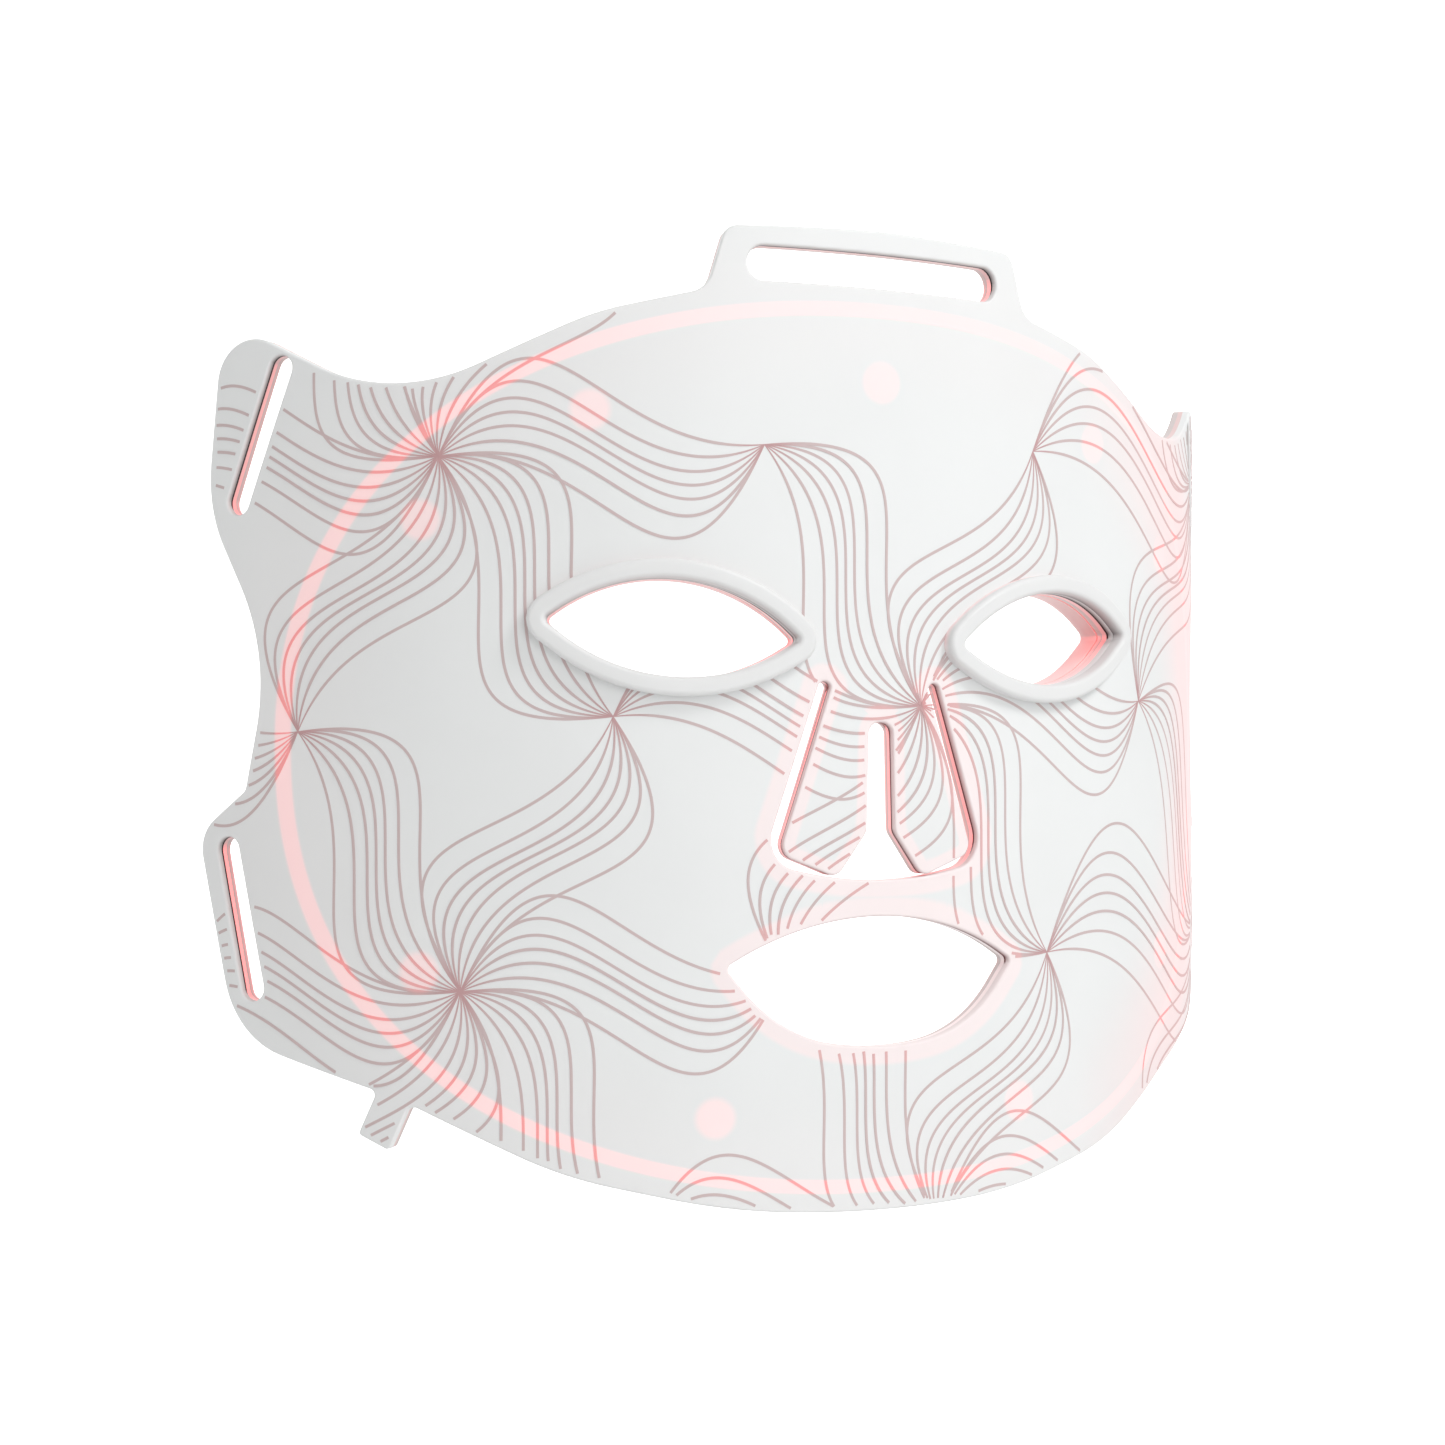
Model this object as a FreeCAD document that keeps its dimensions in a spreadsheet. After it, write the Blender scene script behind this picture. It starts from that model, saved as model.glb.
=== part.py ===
"""LED face mask: a bent silicone sheet sandwich with openings, raised eye rims, two nose flaps and an inlet tab.

Frame: +Z up, the front faces -Y, +X to the viewer's right. The origin is the bridge of the nose on
the inner face, where the mask rests on the wearer. "Left" and "right" are the viewer's, from the front.

Every sheet is drawn as a flat pattern, (across, up) in millimetres from the bridge, and is then
wrapped round a vertical cylinder, so that all cut edges stay square to the sheet.
"""
import FreeCAD, Part
import math
import os
import Sketcher
from FreeCAD import Placement, Rotation, Vector

Flat = FreeCAD.Base.Vector2d

SIZES = [
    ("outer_radius", 140),          # outside of the front cover, bent as it lies at rest
    ("cover_thick", 1.6),
    ("core_thick", 1.0),            # space between cover and liner, for the circuit
    ("liner_thick", 1.4),
    ("circuit_thick", 0.25),
    ("chip_gap", 0.05),             # clearance in front of the circuit
    ("circuit_gap", 0.2),           # clearance between the circuit's edges and the beads
    ("solder_gap", 0.02),           # the flat chips stand this far off the curved circuit
    ("led_length", 3.5),
    ("led_width", 2.8),
    ("led_thick", 0.55),
    ("led_pitch", 19),
    ("resistor_length", 1.6),
    ("resistor_width", 0.8),
    ("band_width", 3),              # clear strip between the circuit and the edge sheet
    ("band_half_width", 117.5),
    ("band_half_height", 83.4),
    ("band_middle", -15.5),
    ("opening_band", 3.4),          # clear strip round the nose and mouth
    ("post_size", 7.5),
    ("rim_width", 3.6),
    ("rim_rise", 2.6),
    ("guard_wall", 2.2),
    ("guard_nose_depth", 1),
    ("guard_temple_depth", 4),
    ("side_slot_width", 5),         # strap slots
    ("top_slot_width", 6.7),
    ("top_slot_length", 54.7),
    ("flap_bead", 2.4),             # clear bead round the inside of each nose flap
    ("tab_width", 7),
    ("tab_length", 9),
    ("tab_lean", 25),
    ("inlet_width", 5.2),
    ("inlet_thick", 2),
    ("inlet_length", 6.5),
    ("inlet_wall", 0.3),
    ("tongue_width", 3.4),
    ("tongue_thick", 0.5),
    ("contact_width", 0.4),
    ("contact_pitch", 0.8),
]

# Half of each mirrored outline: (across, up, corner radius), from the top of the centre line downwards.
MASK_HALF = [
    (0, 83.3, 200), (31.4, 82.4, 3.2), (35.1, 70.3, 5), (56, 65.6, 60), (94.2, 49, 38),
    (131.7, 67.4, 8.5), (135.6, 31, 28), (120.6, 2.5, 41), (126.3, -23.6, 2), (137.8, -32, 7),
    (128.7, -71, 19), (90, -83, 80), (62, -95.6, 90), (30, -102.6, 150), (0, -104.2, 300),
]
TAB_AFTER = (90, -83, 80)           # the inlet tab grows from the left edge just above this corner
TAB_ROOT = (-94.6, -81.6)
MOUTH_HALF = [(0, -38.7, 58), (31.6, -56.9, 1.2), (20.5, -70.2, 30), (0, -73.2, 60)]
NOSE_HALF = [(0, -10.9, 1.2), (12.6, -2.2, 1.25), (24.4, -37.2, 6), (0, -42.6, 78)]
FLAP = [(2, -9.95, 0.3), (10.5, -4.1, 0.8), (21.1, -35.6, 3), (9.3, -40.2, 2.5), (3, -31.5, 3), (2.6, -13.5, 1)]
FLAP_LEDS = [(9.5, -17), (11.5, -29)]
EYE = [(17.2, 4.6, 1), (40, 26, 36), (65.8, 8.3, 1), (42, -10.4, 37)]
UPPER_SLOT = ((118.1, 56.8), (127.9, 31.8))
LOWER_SLOT = ((130.3, -35), (124.5, -61.4))
TOP_SLOT_UP = 75.6
POSTS = [(0, 54.3), (57, 47.3), (89, 27), (89.3, -57.6), (33.5, -85)]

doc = FreeCAD.newDocument("led_face_mask")
sheet = doc.addObject("Spreadsheet::Sheet", "sizes")
for row, (alias, value) in enumerate(SIZES, start=1):
    sheet.set(f"A{row}", alias)
    sheet.set(f"B{row}", str(value))
    sheet.setAlias(f"B{row}", alias)
doc.recompute()


def size(alias):
    return float(sheet.get(alias))


OUTER = size("outer_radius")
COVER_BACK = OUTER - size("cover_thick")
LINER_FRONT = COVER_BACK - size("core_thick")
LINER_BACK = LINER_FRONT - size("liner_thick")
RIM_FRONT = OUTER + size("rim_rise")
CIRCUIT_FRONT = COVER_BACK - size("chip_gap")
CIRCUIT_BACK = CIRCUIT_FRONT - size("circuit_thick")
CHIP_FRONT = CIRCUIT_BACK - size("solder_gap")
AXIS = Vector(0, LINER_BACK, 0)
SUPER_POWER = 2.2                   # a little squarer than an ellipse
OVERCUT = 1.0                       # how far a cutter runs past the faces it cuts
TAIL_REACH = 16                     # how far the circuit's tail runs up from the tab's root, under the circuit
TAIL_WIDTH = 4
CONTACTS = 4
parts = []


def mirror(corners):
    """The same corners on the other side of the centre line, in the order that closes the outline."""
    return [(-across, up, radius) for across, up, radius in reversed(corners)]


def whole(half):
    """A closed outline from its right half; corners on the centre line are kept once."""
    left = [corner for corner in mirror(half) if corner[0] != 0]
    return half + left


def grow(corners, distance):
    """Move every edge of a clockwise outline outwards and keep the corners concentric."""
    grown = []
    count = len(corners)
    for i in range(count):
        before = corners[i - 1]
        here = corners[i]
        after = corners[(i + 1) % count]
        first = math.atan2(here[1] - before[1], here[0] - before[0])
        second = math.atan2(after[1] - here[1], after[0] - here[0])
        turn = math.remainder(second - first, 2 * math.pi)
        middle = first + turn / 2 + math.pi / 2
        reach = distance / math.cos(turn / 2)
        across = here[0] + reach * math.cos(middle)
        up = here[1] + reach * math.sin(middle)
        radius = here[2] - math.copysign(1, turn) * distance
        grown.append((across, up, max(radius, 0.1)))
    return grown


def rounded(corners):
    """Straight and round stretches of a cornered outline, as lists of poles with the middle weight."""
    stretches = []
    starts = []
    count = len(corners)
    for i in range(count):
        before = Vector(*corners[i - 1][:2], 0)
        here = Vector(*corners[i][:2], 0)
        after = Vector(*corners[(i + 1) % count][:2], 0)
        inward = (before - here).normalize()
        outward = (after - here).normalize()
        turn = math.pi - inward.getAngle(outward)
        trim = corners[i][2] * math.tan(turn / 2)
        starts.append((here + inward * trim, here, here + outward * trim, math.cos(turn / 2)))
    for i in range(count):
        enter, here, leave, weight = starts[i]
        stretches.append(([enter, here, leave], weight))
        following, next_corner = starts[(i + 1) % count][:2]
        if (leave - here).Length + (next_corner - following).Length > (next_corner - here).Length + 1e-4:
            raise ValueError(f"the corners at {here} and {next_corner} leave no room for their radii")
        if (following - leave).Length > 1e-4:
            stretches.append(([leave, following], 1))
    return stretches


def slot(ends, width):
    """A round-ended slot between two flat points."""
    start = Vector(*ends[0], 0)
    stop = Vector(*ends[1], 0)
    along = (stop - start).normalize() * width / 2
    side = Vector(along.y, -along.x, 0)
    ring = [start - along - side, start - along + side, stop + along + side, stop + along - side]
    return [(point.x, point.y, width / 2 - 0.001) for point in ring]


def square(across, up, width):
    """A circle, as a square with full corners."""
    half = width / 2
    ring = [(-half, half), (half, half), (half, -half), (-half, -half)]
    return [(across + x, up + z, half - 0.001) for x, z in ring]


def oval(inset):
    """The light band's line, moved inwards by inset, as four smooth quarters."""
    wide = size("band_half_width") - inset
    high = size("band_half_height") - inset
    steps = 12
    quarters = []
    for quarter in range(4):
        points = []
        for i in range(steps + 1):
            angle = math.pi / 2 * (quarter + i / steps)
            run = math.copysign(abs(math.cos(angle)) ** (2 / SUPER_POWER), math.cos(angle))
            rise = math.copysign(abs(math.sin(angle)) ** (2 / SUPER_POWER), math.sin(angle))
            if i in (0, steps):
                run = round(run)
                rise = round(rise)
            points.append(Vector(run * wide, size("band_middle") + rise * high, 0))
        quarters.append(points)
    return quarters


def wrapped_wire(outline, radius):
    """Lay a flat outline on the cylinder of this radius."""
    surface = Part.Cylinder()
    surface.Radius = radius
    surface.Center = AXIS

    def turned(point):
        return Flat(point.x / OUTER - math.pi / 2, point.y)

    edges = []
    if isinstance(outline[0], list):
        for points in outline:
            curve = Part.Geom2d.BSplineCurve2d()
            curve.interpolate([turned(point) for point in points])
            edges.append(curve.toShape(surface))
        return surface, edges
    for poles, weight in rounded(outline):
        curve = Part.Geom2d.BSplineCurve2d()
        degree = len(poles) - 1
        weights = [1, weight, 1] if degree == 2 else [1, 1]
        ends = [degree + 1, degree + 1]
        curve.buildFromPolesMultsKnots([turned(p) for p in poles], ends, [0, 1], False, degree, weights)
        edges.append(curve.toShape(surface))
    return surface, edges


def wrap(outline, back, front):
    """A solid of this flat outline between two radii, with walls square to the sheet."""
    back_surface, back_edges = wrapped_wire(outline, back)
    front_surface, front_edges = wrapped_wire(outline, front)
    faces = [Part.Face(back_surface, Part.Wire(back_edges)), Part.Face(front_surface, Part.Wire(front_edges))]
    for back_edge, front_edge in zip(back_edges, front_edges):
        faces.append(Part.makeRuledSurface(back_edge, front_edge))
    shell = Part.Shell(faces)
    shell.sewShape()
    solid = Part.Solid(shell)
    solid.fix(1e-4, 1e-4, 1e-4)
    if solid.Volume < 0:
        solid.reverse()
    return solid


def hole(outline):
    """A cutter of this outline through the whole sandwich, the rims and the guards."""
    reach = size("guard_temple_depth") + 3
    return wrap(outline, LINER_BACK - reach, RIM_FRONT + OVERCUT)


def other_side(shape):
    return shape.mirror(Vector(0, 0, 0), Vector(1, 0, 0))


def both_sides(shape):
    return [shape, other_side(shape)]


def on_sheet(across, up, radius):
    """The point in space that lies over a flat point at this radius, and the sheet's own directions there."""
    angle = across / OUTER
    outward = Vector(math.sin(angle), -math.cos(angle), 0)
    sideways = Vector(math.cos(angle), math.sin(angle), 0)
    return AXIS + outward * radius + Vector(0, 0, up), sideways, outward


def add_shape(name, shape):
    feature = doc.addObject("Part::Feature", name)
    feature.Shape = shape
    return feature


def keep(feature, node):
    feature.Label = node
    parts.append((node, feature))
    return feature


def add_sheet(node, blank, cutters):
    """A wrapped blank with its openings cut out, kept as one cut feature."""
    part = doc.addObject("Part::Cut", node)
    part.Base = add_shape(node + "_blank", blank)
    part.Tool = add_shape(node + "_cutters", Part.makeCompound(cutters))
    return keep(part, node)


def mask_outline():
    """The whole outer edge, with the inlet tab on the lower left."""
    lean = math.radians(size("tab_lean"))
    along = Vector(-math.sin(lean), -math.cos(lean), 0)
    beside = Vector(math.cos(lean), -math.sin(lean), 0) * size("tab_width") / 2
    root = Vector(*TAB_ROOT, 0)
    tip = root + along * size("tab_length")
    tab = [(root + beside, 1), (tip + beside, 1), (tip - beside, 0.8), (root - beside, 1.2)]
    left = []
    for corner in mirror([c for c in MASK_HALF if c[0] != 0]):
        if corner == (-TAB_AFTER[0], TAB_AFTER[1], TAB_AFTER[2]):
            left.append((corner[0], corner[1], 1))
            left += [(point.x, point.y, radius) for point, radius in tab]
        else:
            left.append(corner)
    return MASK_HALF + left


def strap_slots():
    upper = hole(slot(UPPER_SLOT, size("side_slot_width")))
    lower = hole(slot(LOWER_SLOT, size("side_slot_width")))
    reach = (size("top_slot_length") - size("top_slot_width")) / 2
    top = hole(slot(((-reach, TOP_SLOT_UP), (reach, TOP_SLOT_UP)), size("top_slot_width")))
    return both_sides(upper) + both_sides(lower) + [top]


def face_openings():
    return both_sides(hole(EYE)) + [hole(whole(MOUTH_HALF)), hole(whole(NOSE_HALF))]


def tab_frame():
    """Placement at the middle of the tab's end, with local Z out of the end and local Y out of the sheet."""
    lean = math.radians(size("tab_lean"))
    reach = size("tab_length")
    across = TAB_ROOT[0] - math.sin(lean) * reach
    up = TAB_ROOT[1] - math.cos(lean) * reach
    point, sideways, outward = on_sheet(across, up, (OUTER + LINER_BACK) / 2)
    width = sideways * math.cos(lean) - Vector(0, 0, math.sin(lean))
    out = sideways * -math.sin(lean) - Vector(0, 0, math.cos(lean))
    return Placement(point, Rotation(width, outward, out, "XYZ"))


def inlet_pocket():
    """The space that the inlet fills, run past the end of the tab."""
    wide = size("inlet_width")
    thick = size("inlet_thick")
    long = size("inlet_length") + OVERCUT
    block = Part.makeBox(wide, thick, long, Vector(-wide / 2, -thick / 2, OVERCUT - long))
    block.Placement = tab_frame()
    return block


def circuit_tail(width, radius_back, radius_front):
    """The strip of circuit, or the channel for it, from inside the light band to the inlet."""
    lean = math.radians(size("tab_lean"))
    reach = size("tab_length") - size("inlet_length") - size("circuit_gap")
    start = Vector(*TAB_ROOT, 0) + Vector(-math.sin(lean), -math.cos(lean), 0) * reach
    stop = Vector(*TAB_ROOT, 0) + Vector(math.sin(lean), math.cos(lean), 0) * TAIL_REACH
    beside = Vector(math.cos(lean), -math.sin(lean), 0) * width / 2
    ring = [stop - beside, stop + beside, start + beside, start - beside]
    return wrap([(point.x, point.y, 0.2) for point in ring], radius_back, radius_front)


def make_cover():
    blank = wrap(mask_outline(), COVER_BACK, OUTER)
    add_sheet("front_cover", blank, face_openings() + strap_slots() + [inlet_pocket()])


def make_liner():
    blank = wrap(mask_outline(), LINER_BACK, LINER_FRONT)
    add_sheet("face_liner", blank, face_openings() + strap_slots() + [inlet_pocket()])


def make_edge_sheet():
    blank = wrap(mask_outline(), LINER_FRONT, COVER_BACK)
    inside = wrap(oval(-size("band_width") / 2), LINER_FRONT - OVERCUT, COVER_BACK + OVERCUT)
    channel = circuit_tail(TAIL_WIDTH + size("circuit_gap"), LINER_FRONT - OVERCUT, COVER_BACK + OVERCUT)
    add_sheet("edge_sheet", blank, strap_slots() + [inside.fuse([channel, inlet_pocket()])])


def make_bead(node, outline, width):
    """A clear bead between cover and liner, round one opening."""
    blank = wrap(grow(outline, width), LINER_FRONT, COVER_BACK)
    return add_sheet(node, blank, [hole(outline)])


def make_beads():
    make_bead("mouth_bead", whole(MOUTH_HALF), size("opening_band"))
    make_bead("nose_bead", whole(NOSE_HALF), size("opening_band"))
    right = make_bead("eye_bead_right", EYE, size("rim_width"))
    doc.recompute()
    keep(add_shape("eye_bead_left", other_side(right.Shape)), "eye_bead_left")


def make_posts():
    """Round clear posts that join cover and liner through holes in the circuit."""
    posts = []
    for across, up in POSTS:
        post = wrap(square(across, up, size("post_size")), LINER_FRONT, COVER_BACK)
        posts += both_sides(post) if across else [post]
    keep(add_shape("bond_posts", Part.makeCompound(posts)), "bond_posts")


def make_circuit():
    clear = size("circuit_gap")
    blank = wrap(oval(size("band_width") / 2), CIRCUIT_BACK, CIRCUIT_FRONT)
    blank = blank.fuse(circuit_tail(TAIL_WIDTH, CIRCUIT_BACK, CIRCUIT_FRONT)).removeSplitter()
    cutters = both_sides(hole(grow(EYE, size("rim_width") + clear)))
    cutters.append(hole(grow(whole(MOUTH_HALF), size("opening_band") + clear)))
    cutters.append(hole(grow(whole(NOSE_HALF), size("opening_band") + clear)))
    for across, up in POSTS:
        cutter = hole(square(across, up, size("post_size") + 2 * clear))
        cutters += both_sides(cutter) if across else [cutter]
    return add_sheet("flex_circuit", blank, cutters)


def chip(name, across, up, length, width):
    """One chip soldered behind the circuit, its sizes bound to the sheet."""
    box = doc.addObject("Part::Box", name)
    box.setExpression("Length", f"sizes.{length}")
    box.setExpression("Width", "sizes.led_thick")
    box.setExpression("Height", f"sizes.{width}")
    point, sideways, outward = on_sheet(across, up, CHIP_FRONT)
    corner = point - sideways * size(length) / 2 - Vector(0, 0, size(width) / 2)
    box.Placement = Placement(corner, Rotation(sideways, outward * -1, Vector(0, 0, 1), "XYZ"))
    return box


def group(node, features):
    compound = doc.addObject("Part::Compound", node)
    compound.Links = features
    return keep(compound, node)


def has_room(across, up):
    """True where the circuit has a whole chip's room, by ovals round its edge and its holes."""
    edge = ((0, size("band_middle")), (size("band_half_width") - 9, size("band_half_height") - 7))
    if not in_oval(across, up, *edge):
        return False
    holes = [((side * 41.5, 7.6), (36.5, 19.5)) for side in (-1, 1)]
    holes += [((0, -24), (33, 28)), ((0, -60), (41, 22))]
    holes += [((side * x, z), (10, 8)) for x, z in POSTS for side in (-1, 1)]
    return not any(in_oval(across, up, middle, halves) for middle, halves in holes)


def in_oval(across, up, middle, halves):
    return ((across - middle[0]) / halves[0]) ** 2 + ((up - middle[1]) / halves[1]) ** 2 < 1


def make_chips():
    """Red and infrared chips in staggered rows, and a resistor beside every red one, where the circuit has room."""
    pitch = size("led_pitch")
    reds = []
    infrareds = []
    resistors = []
    for row in range(-5, 6):
        for column in range(-7, 8):
            across = (column + (row % 2) / 2) * pitch
            up = size("band_middle") + row * pitch * 0.8
            if not has_room(across, up):
                continue
            if (column + row) % 3 == 0:
                infrareds.append(chip(f"infrared_{len(infrareds)}", across, up, "led_length", "led_width"))
            else:
                reds.append(chip(f"red_{len(reds)}", across, up, "led_length", "led_width"))
                resistors.append(chip(f"res_{len(resistors)}", across - 4.5, up, "resistor_length", "resistor_width"))
    group("red_leds", reds)
    group("infrared_leds", infrareds)
    group("resistors", resistors)


def make_rims_and_guards():
    rim_blank = wrap(grow(EYE, size("rim_width")), OUTER, RIM_FRONT)
    rim = add_sheet("eye_rim_right", rim_blank, [hole(EYE)])
    deepest = LINER_BACK - size("guard_temple_depth") - 2
    guard_ring = wrap(grow(EYE, size("guard_wall")), deepest, LINER_BACK)
    nose_end = on_sheet(EYE[0][0], 0, LINER_BACK - size("guard_nose_depth"))[0]
    temple_end = on_sheet(EYE[2][0], 0, LINER_BACK - size("guard_temple_depth"))[0]
    along = (temple_end - nose_end).normalize()
    behind = Vector(-along.y, along.x, 0)
    trimmer = Part.makeBox(120, 30, 80, Vector(-30, 0, -40))
    trimmer.Placement = Placement(nose_end, Rotation(along, behind, Vector(0, 0, 1), "XYZ"))
    guard = add_sheet("eye_guard_right", guard_ring, [hole(EYE).fuse(trimmer)])
    doc.recompute()
    keep(add_shape("eye_rim_left", other_side(rim.Shape)), "eye_rim_left")
    keep(add_shape("eye_guard_left", other_side(guard.Shape)), "eye_guard_left")


def make_flap():
    """The right nose flap and its mirror image: cover, bead, circuit, chip and liner."""
    inner = grow(FLAP, -size("flap_bead"))
    board = grow(FLAP, -size("flap_bead") - size("circuit_gap"))
    layers = [
        ("nose_flap_cover", wrap(FLAP, COVER_BACK, OUTER)),
        ("nose_flap_bead", wrap(FLAP, LINER_FRONT, COVER_BACK).cut(hole(inner))),
        ("nose_flap_circuit", wrap(board, CIRCUIT_BACK, CIRCUIT_FRONT)),
        ("nose_flap_liner", wrap(FLAP, LINER_BACK, LINER_FRONT)),
    ]
    for node, shape in layers:
        keep(add_shape(node + "_right", shape), node + "_right")
        keep(add_shape(node + "_left", other_side(shape)), node + "_left")
    for side, direction in (("right", 1), ("left", -1)):
        chips = []
        for across, up in FLAP_LEDS:
            name = f"flap_{side}_{len(chips)}"
            chips.append(chip(name, direction * across, up, "led_length", "led_width"))
        group(f"nose_flap_leds_{side}", chips)


def rectangle(body, name, wide, thick):
    """A centred rectangle on the body's XY plane, its two sizes bound to expressions."""
    plane = [f for f in body.Origin.OriginFeatures if f.Role == "XY_Plane"][0]
    sketch = body.newObject("Sketcher::SketchObject", name)
    sketch.AttachmentSupport = [(plane, "")]
    sketch.MapMode = "FlatFace"
    ring = [Vector(-1, 1, 0), Vector(1, 1, 0), Vector(1, -1, 0), Vector(-1, -1, 0)]
    sketch.addGeometry([Part.LineSegment(ring[i], ring[(i + 1) % 4]) for i in range(4)], False)
    for i in range(4):
        sketch.addConstraint(Sketcher.Constraint("Coincident", i, 2, (i + 1) % 4, 1))
    for i in range(4):
        sketch.addConstraint(Sketcher.Constraint("Horizontal" if i % 2 == 0 else "Vertical", i))
    sketch.addConstraint(Sketcher.Constraint("Symmetric", 0, 1, 1, 2, -1, 1))
    for line, expression in ((0, wide), (1, thick)):
        index = sketch.addConstraint(Sketcher.Constraint("Distance", line, 2.0))
        sketch.setExpression(f"Constraints[{index}]", expression)
    return sketch


def make_inlet():
    """A flat metal inlet in the end of the tab, with its tongue and contacts."""
    body = doc.addObject("PartDesign::Body", "inlet_shell")
    pad = body.newObject("PartDesign::Pad", "shell_pad")
    pad.Profile = rectangle(body, "shell_outline", "sizes.inlet_width", "sizes.inlet_thick")
    pad.setExpression("Length", "sizes.inlet_length")
    pad.Reversed = True
    doc.recompute()
    pocket = body.newObject("PartDesign::Pocket", "shell_mouth")
    inner = ("sizes.inlet_width - 2 * sizes.inlet_wall", "sizes.inlet_thick - 2 * sizes.inlet_wall")
    pocket.Profile = rectangle(body, "mouth_outline", *inner)
    pocket.setExpression("Length", "sizes.inlet_length - sizes.inlet_wall")
    doc.recompute()
    solid_volume = size("inlet_width") * size("inlet_thick") * size("inlet_length")
    if body.Shape.Volume > 0.7 * solid_volume:
        pocket.Reversed = not pocket.Reversed
        doc.recompute()
    body.Placement = tab_frame()
    keep(body, "inlet_shell")

    tongue = doc.addObject("Part::Box", "inlet_tongue")
    tongue.setExpression("Length", "sizes.tongue_width")
    tongue.setExpression("Width", "sizes.tongue_thick")
    tongue.setExpression("Height", "sizes.inlet_length - 4 * sizes.inlet_wall")
    wide = size("tongue_width")
    thick = size("tongue_thick")
    back = size("inlet_wall") - size("inlet_length")
    tongue.Placement = tab_frame() * Placement(Vector(-wide / 2, -thick / 2, back), Rotation())
    keep(tongue, "inlet_tongue")

    contacts = []
    for i in range(CONTACTS):
        contact = doc.addObject("Part::Box", f"contact_{i}")
        contact.setExpression("Length", "sizes.contact_width")
        contact.setExpression("Width", "sizes.contact_width / 4")
        contact.setExpression("Height", "sizes.inlet_length - 5 * sizes.inlet_wall")
        across = (i - (CONTACTS - 1) / 2) * size("contact_pitch") - size("contact_width") / 2
        contact.Placement = tab_frame() * Placement(Vector(across, thick / 2, back), Rotation())
        contacts.append(contact)
    group("inlet_contacts", contacts)


def check_and_export():
    doc.recompute()
    for thing in doc.Objects:
        if "Invalid" in thing.State or "Error" in thing.State:
            raise RuntimeError(f"{thing.Name} failed to build")
    os.makedirs("parts", exist_ok=True)
    for node, feature in parts:
        shape = feature.Shape
        if shape.isNull() or not shape.isValid() or shape.Volume <= 0:
            raise RuntimeError(f"{node} has no good shape")
        shape.exportStep(f"parts/{node}.step")
        box = shape.BoundBox
        print(f"{node:24s} solids {len(shape.Solids):3d} volume {shape.Volume:10.2f} "
              f"x {box.XMin:.1f}..{box.XMax:.1f} y {box.YMin:.1f}..{box.YMax:.1f} z {box.ZMin:.1f}..{box.ZMax:.1f}")


make_cover()
make_liner()
make_edge_sheet()
make_beads()
make_posts()
make_circuit()
make_chips()
make_rims_and_guards()
make_flap()
make_inlet()
check_and_export()
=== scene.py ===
"""LED face mask: the looks of a bent silicone light therapy mask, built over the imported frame.

Every sheet is drawn flat in millimetres, x across, y up and z proud of the cover's front, and is
then bent round the same upright cylinder as the design, so all cut edges stay square to the sheet.
"left" and "right" are the viewer's.
"""

import logging
import math
from dataclasses import dataclass, field
from enum import Enum
from typing import Any, Optional

import bmesh
import bpy
import numpy as np
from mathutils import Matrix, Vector
from mathutils.bvhtree import BVHTree


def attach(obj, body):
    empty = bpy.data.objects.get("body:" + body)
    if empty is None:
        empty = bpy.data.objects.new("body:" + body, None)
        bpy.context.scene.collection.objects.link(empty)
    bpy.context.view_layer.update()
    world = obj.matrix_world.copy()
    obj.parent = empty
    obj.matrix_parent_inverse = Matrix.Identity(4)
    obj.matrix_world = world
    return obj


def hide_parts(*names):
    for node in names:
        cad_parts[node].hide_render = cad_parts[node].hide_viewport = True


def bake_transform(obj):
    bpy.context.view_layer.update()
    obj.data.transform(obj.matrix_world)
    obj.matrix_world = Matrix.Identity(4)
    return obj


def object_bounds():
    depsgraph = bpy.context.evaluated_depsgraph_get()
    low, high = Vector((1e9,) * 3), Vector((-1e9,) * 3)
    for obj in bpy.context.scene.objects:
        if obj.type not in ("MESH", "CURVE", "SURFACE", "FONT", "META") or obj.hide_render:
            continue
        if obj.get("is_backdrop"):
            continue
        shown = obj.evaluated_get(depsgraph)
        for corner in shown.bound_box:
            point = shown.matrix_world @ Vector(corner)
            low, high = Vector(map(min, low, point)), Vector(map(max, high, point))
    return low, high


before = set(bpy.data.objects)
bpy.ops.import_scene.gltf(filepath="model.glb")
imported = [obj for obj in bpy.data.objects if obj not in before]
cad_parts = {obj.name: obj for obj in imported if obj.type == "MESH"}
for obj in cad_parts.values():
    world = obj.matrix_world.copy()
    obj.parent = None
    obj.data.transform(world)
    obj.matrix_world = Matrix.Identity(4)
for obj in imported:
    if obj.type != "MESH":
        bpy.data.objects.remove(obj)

log = logging.getLogger("led_face_mask")

Corner = tuple[float, float, float]
Outline = list[Corner]
Profile = list[tuple[float, float]]

MM = 0.001

# Bending radii of the sandwich, and the cylinder's axis behind the origin, in mm.
OUTER = 140.0
COVER_BACK = 138.4
LINER_FRONT = 137.4
LINER_BACK = 136.0
RIM_FRONT = 142.6
AXIS = LINER_BACK

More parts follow.
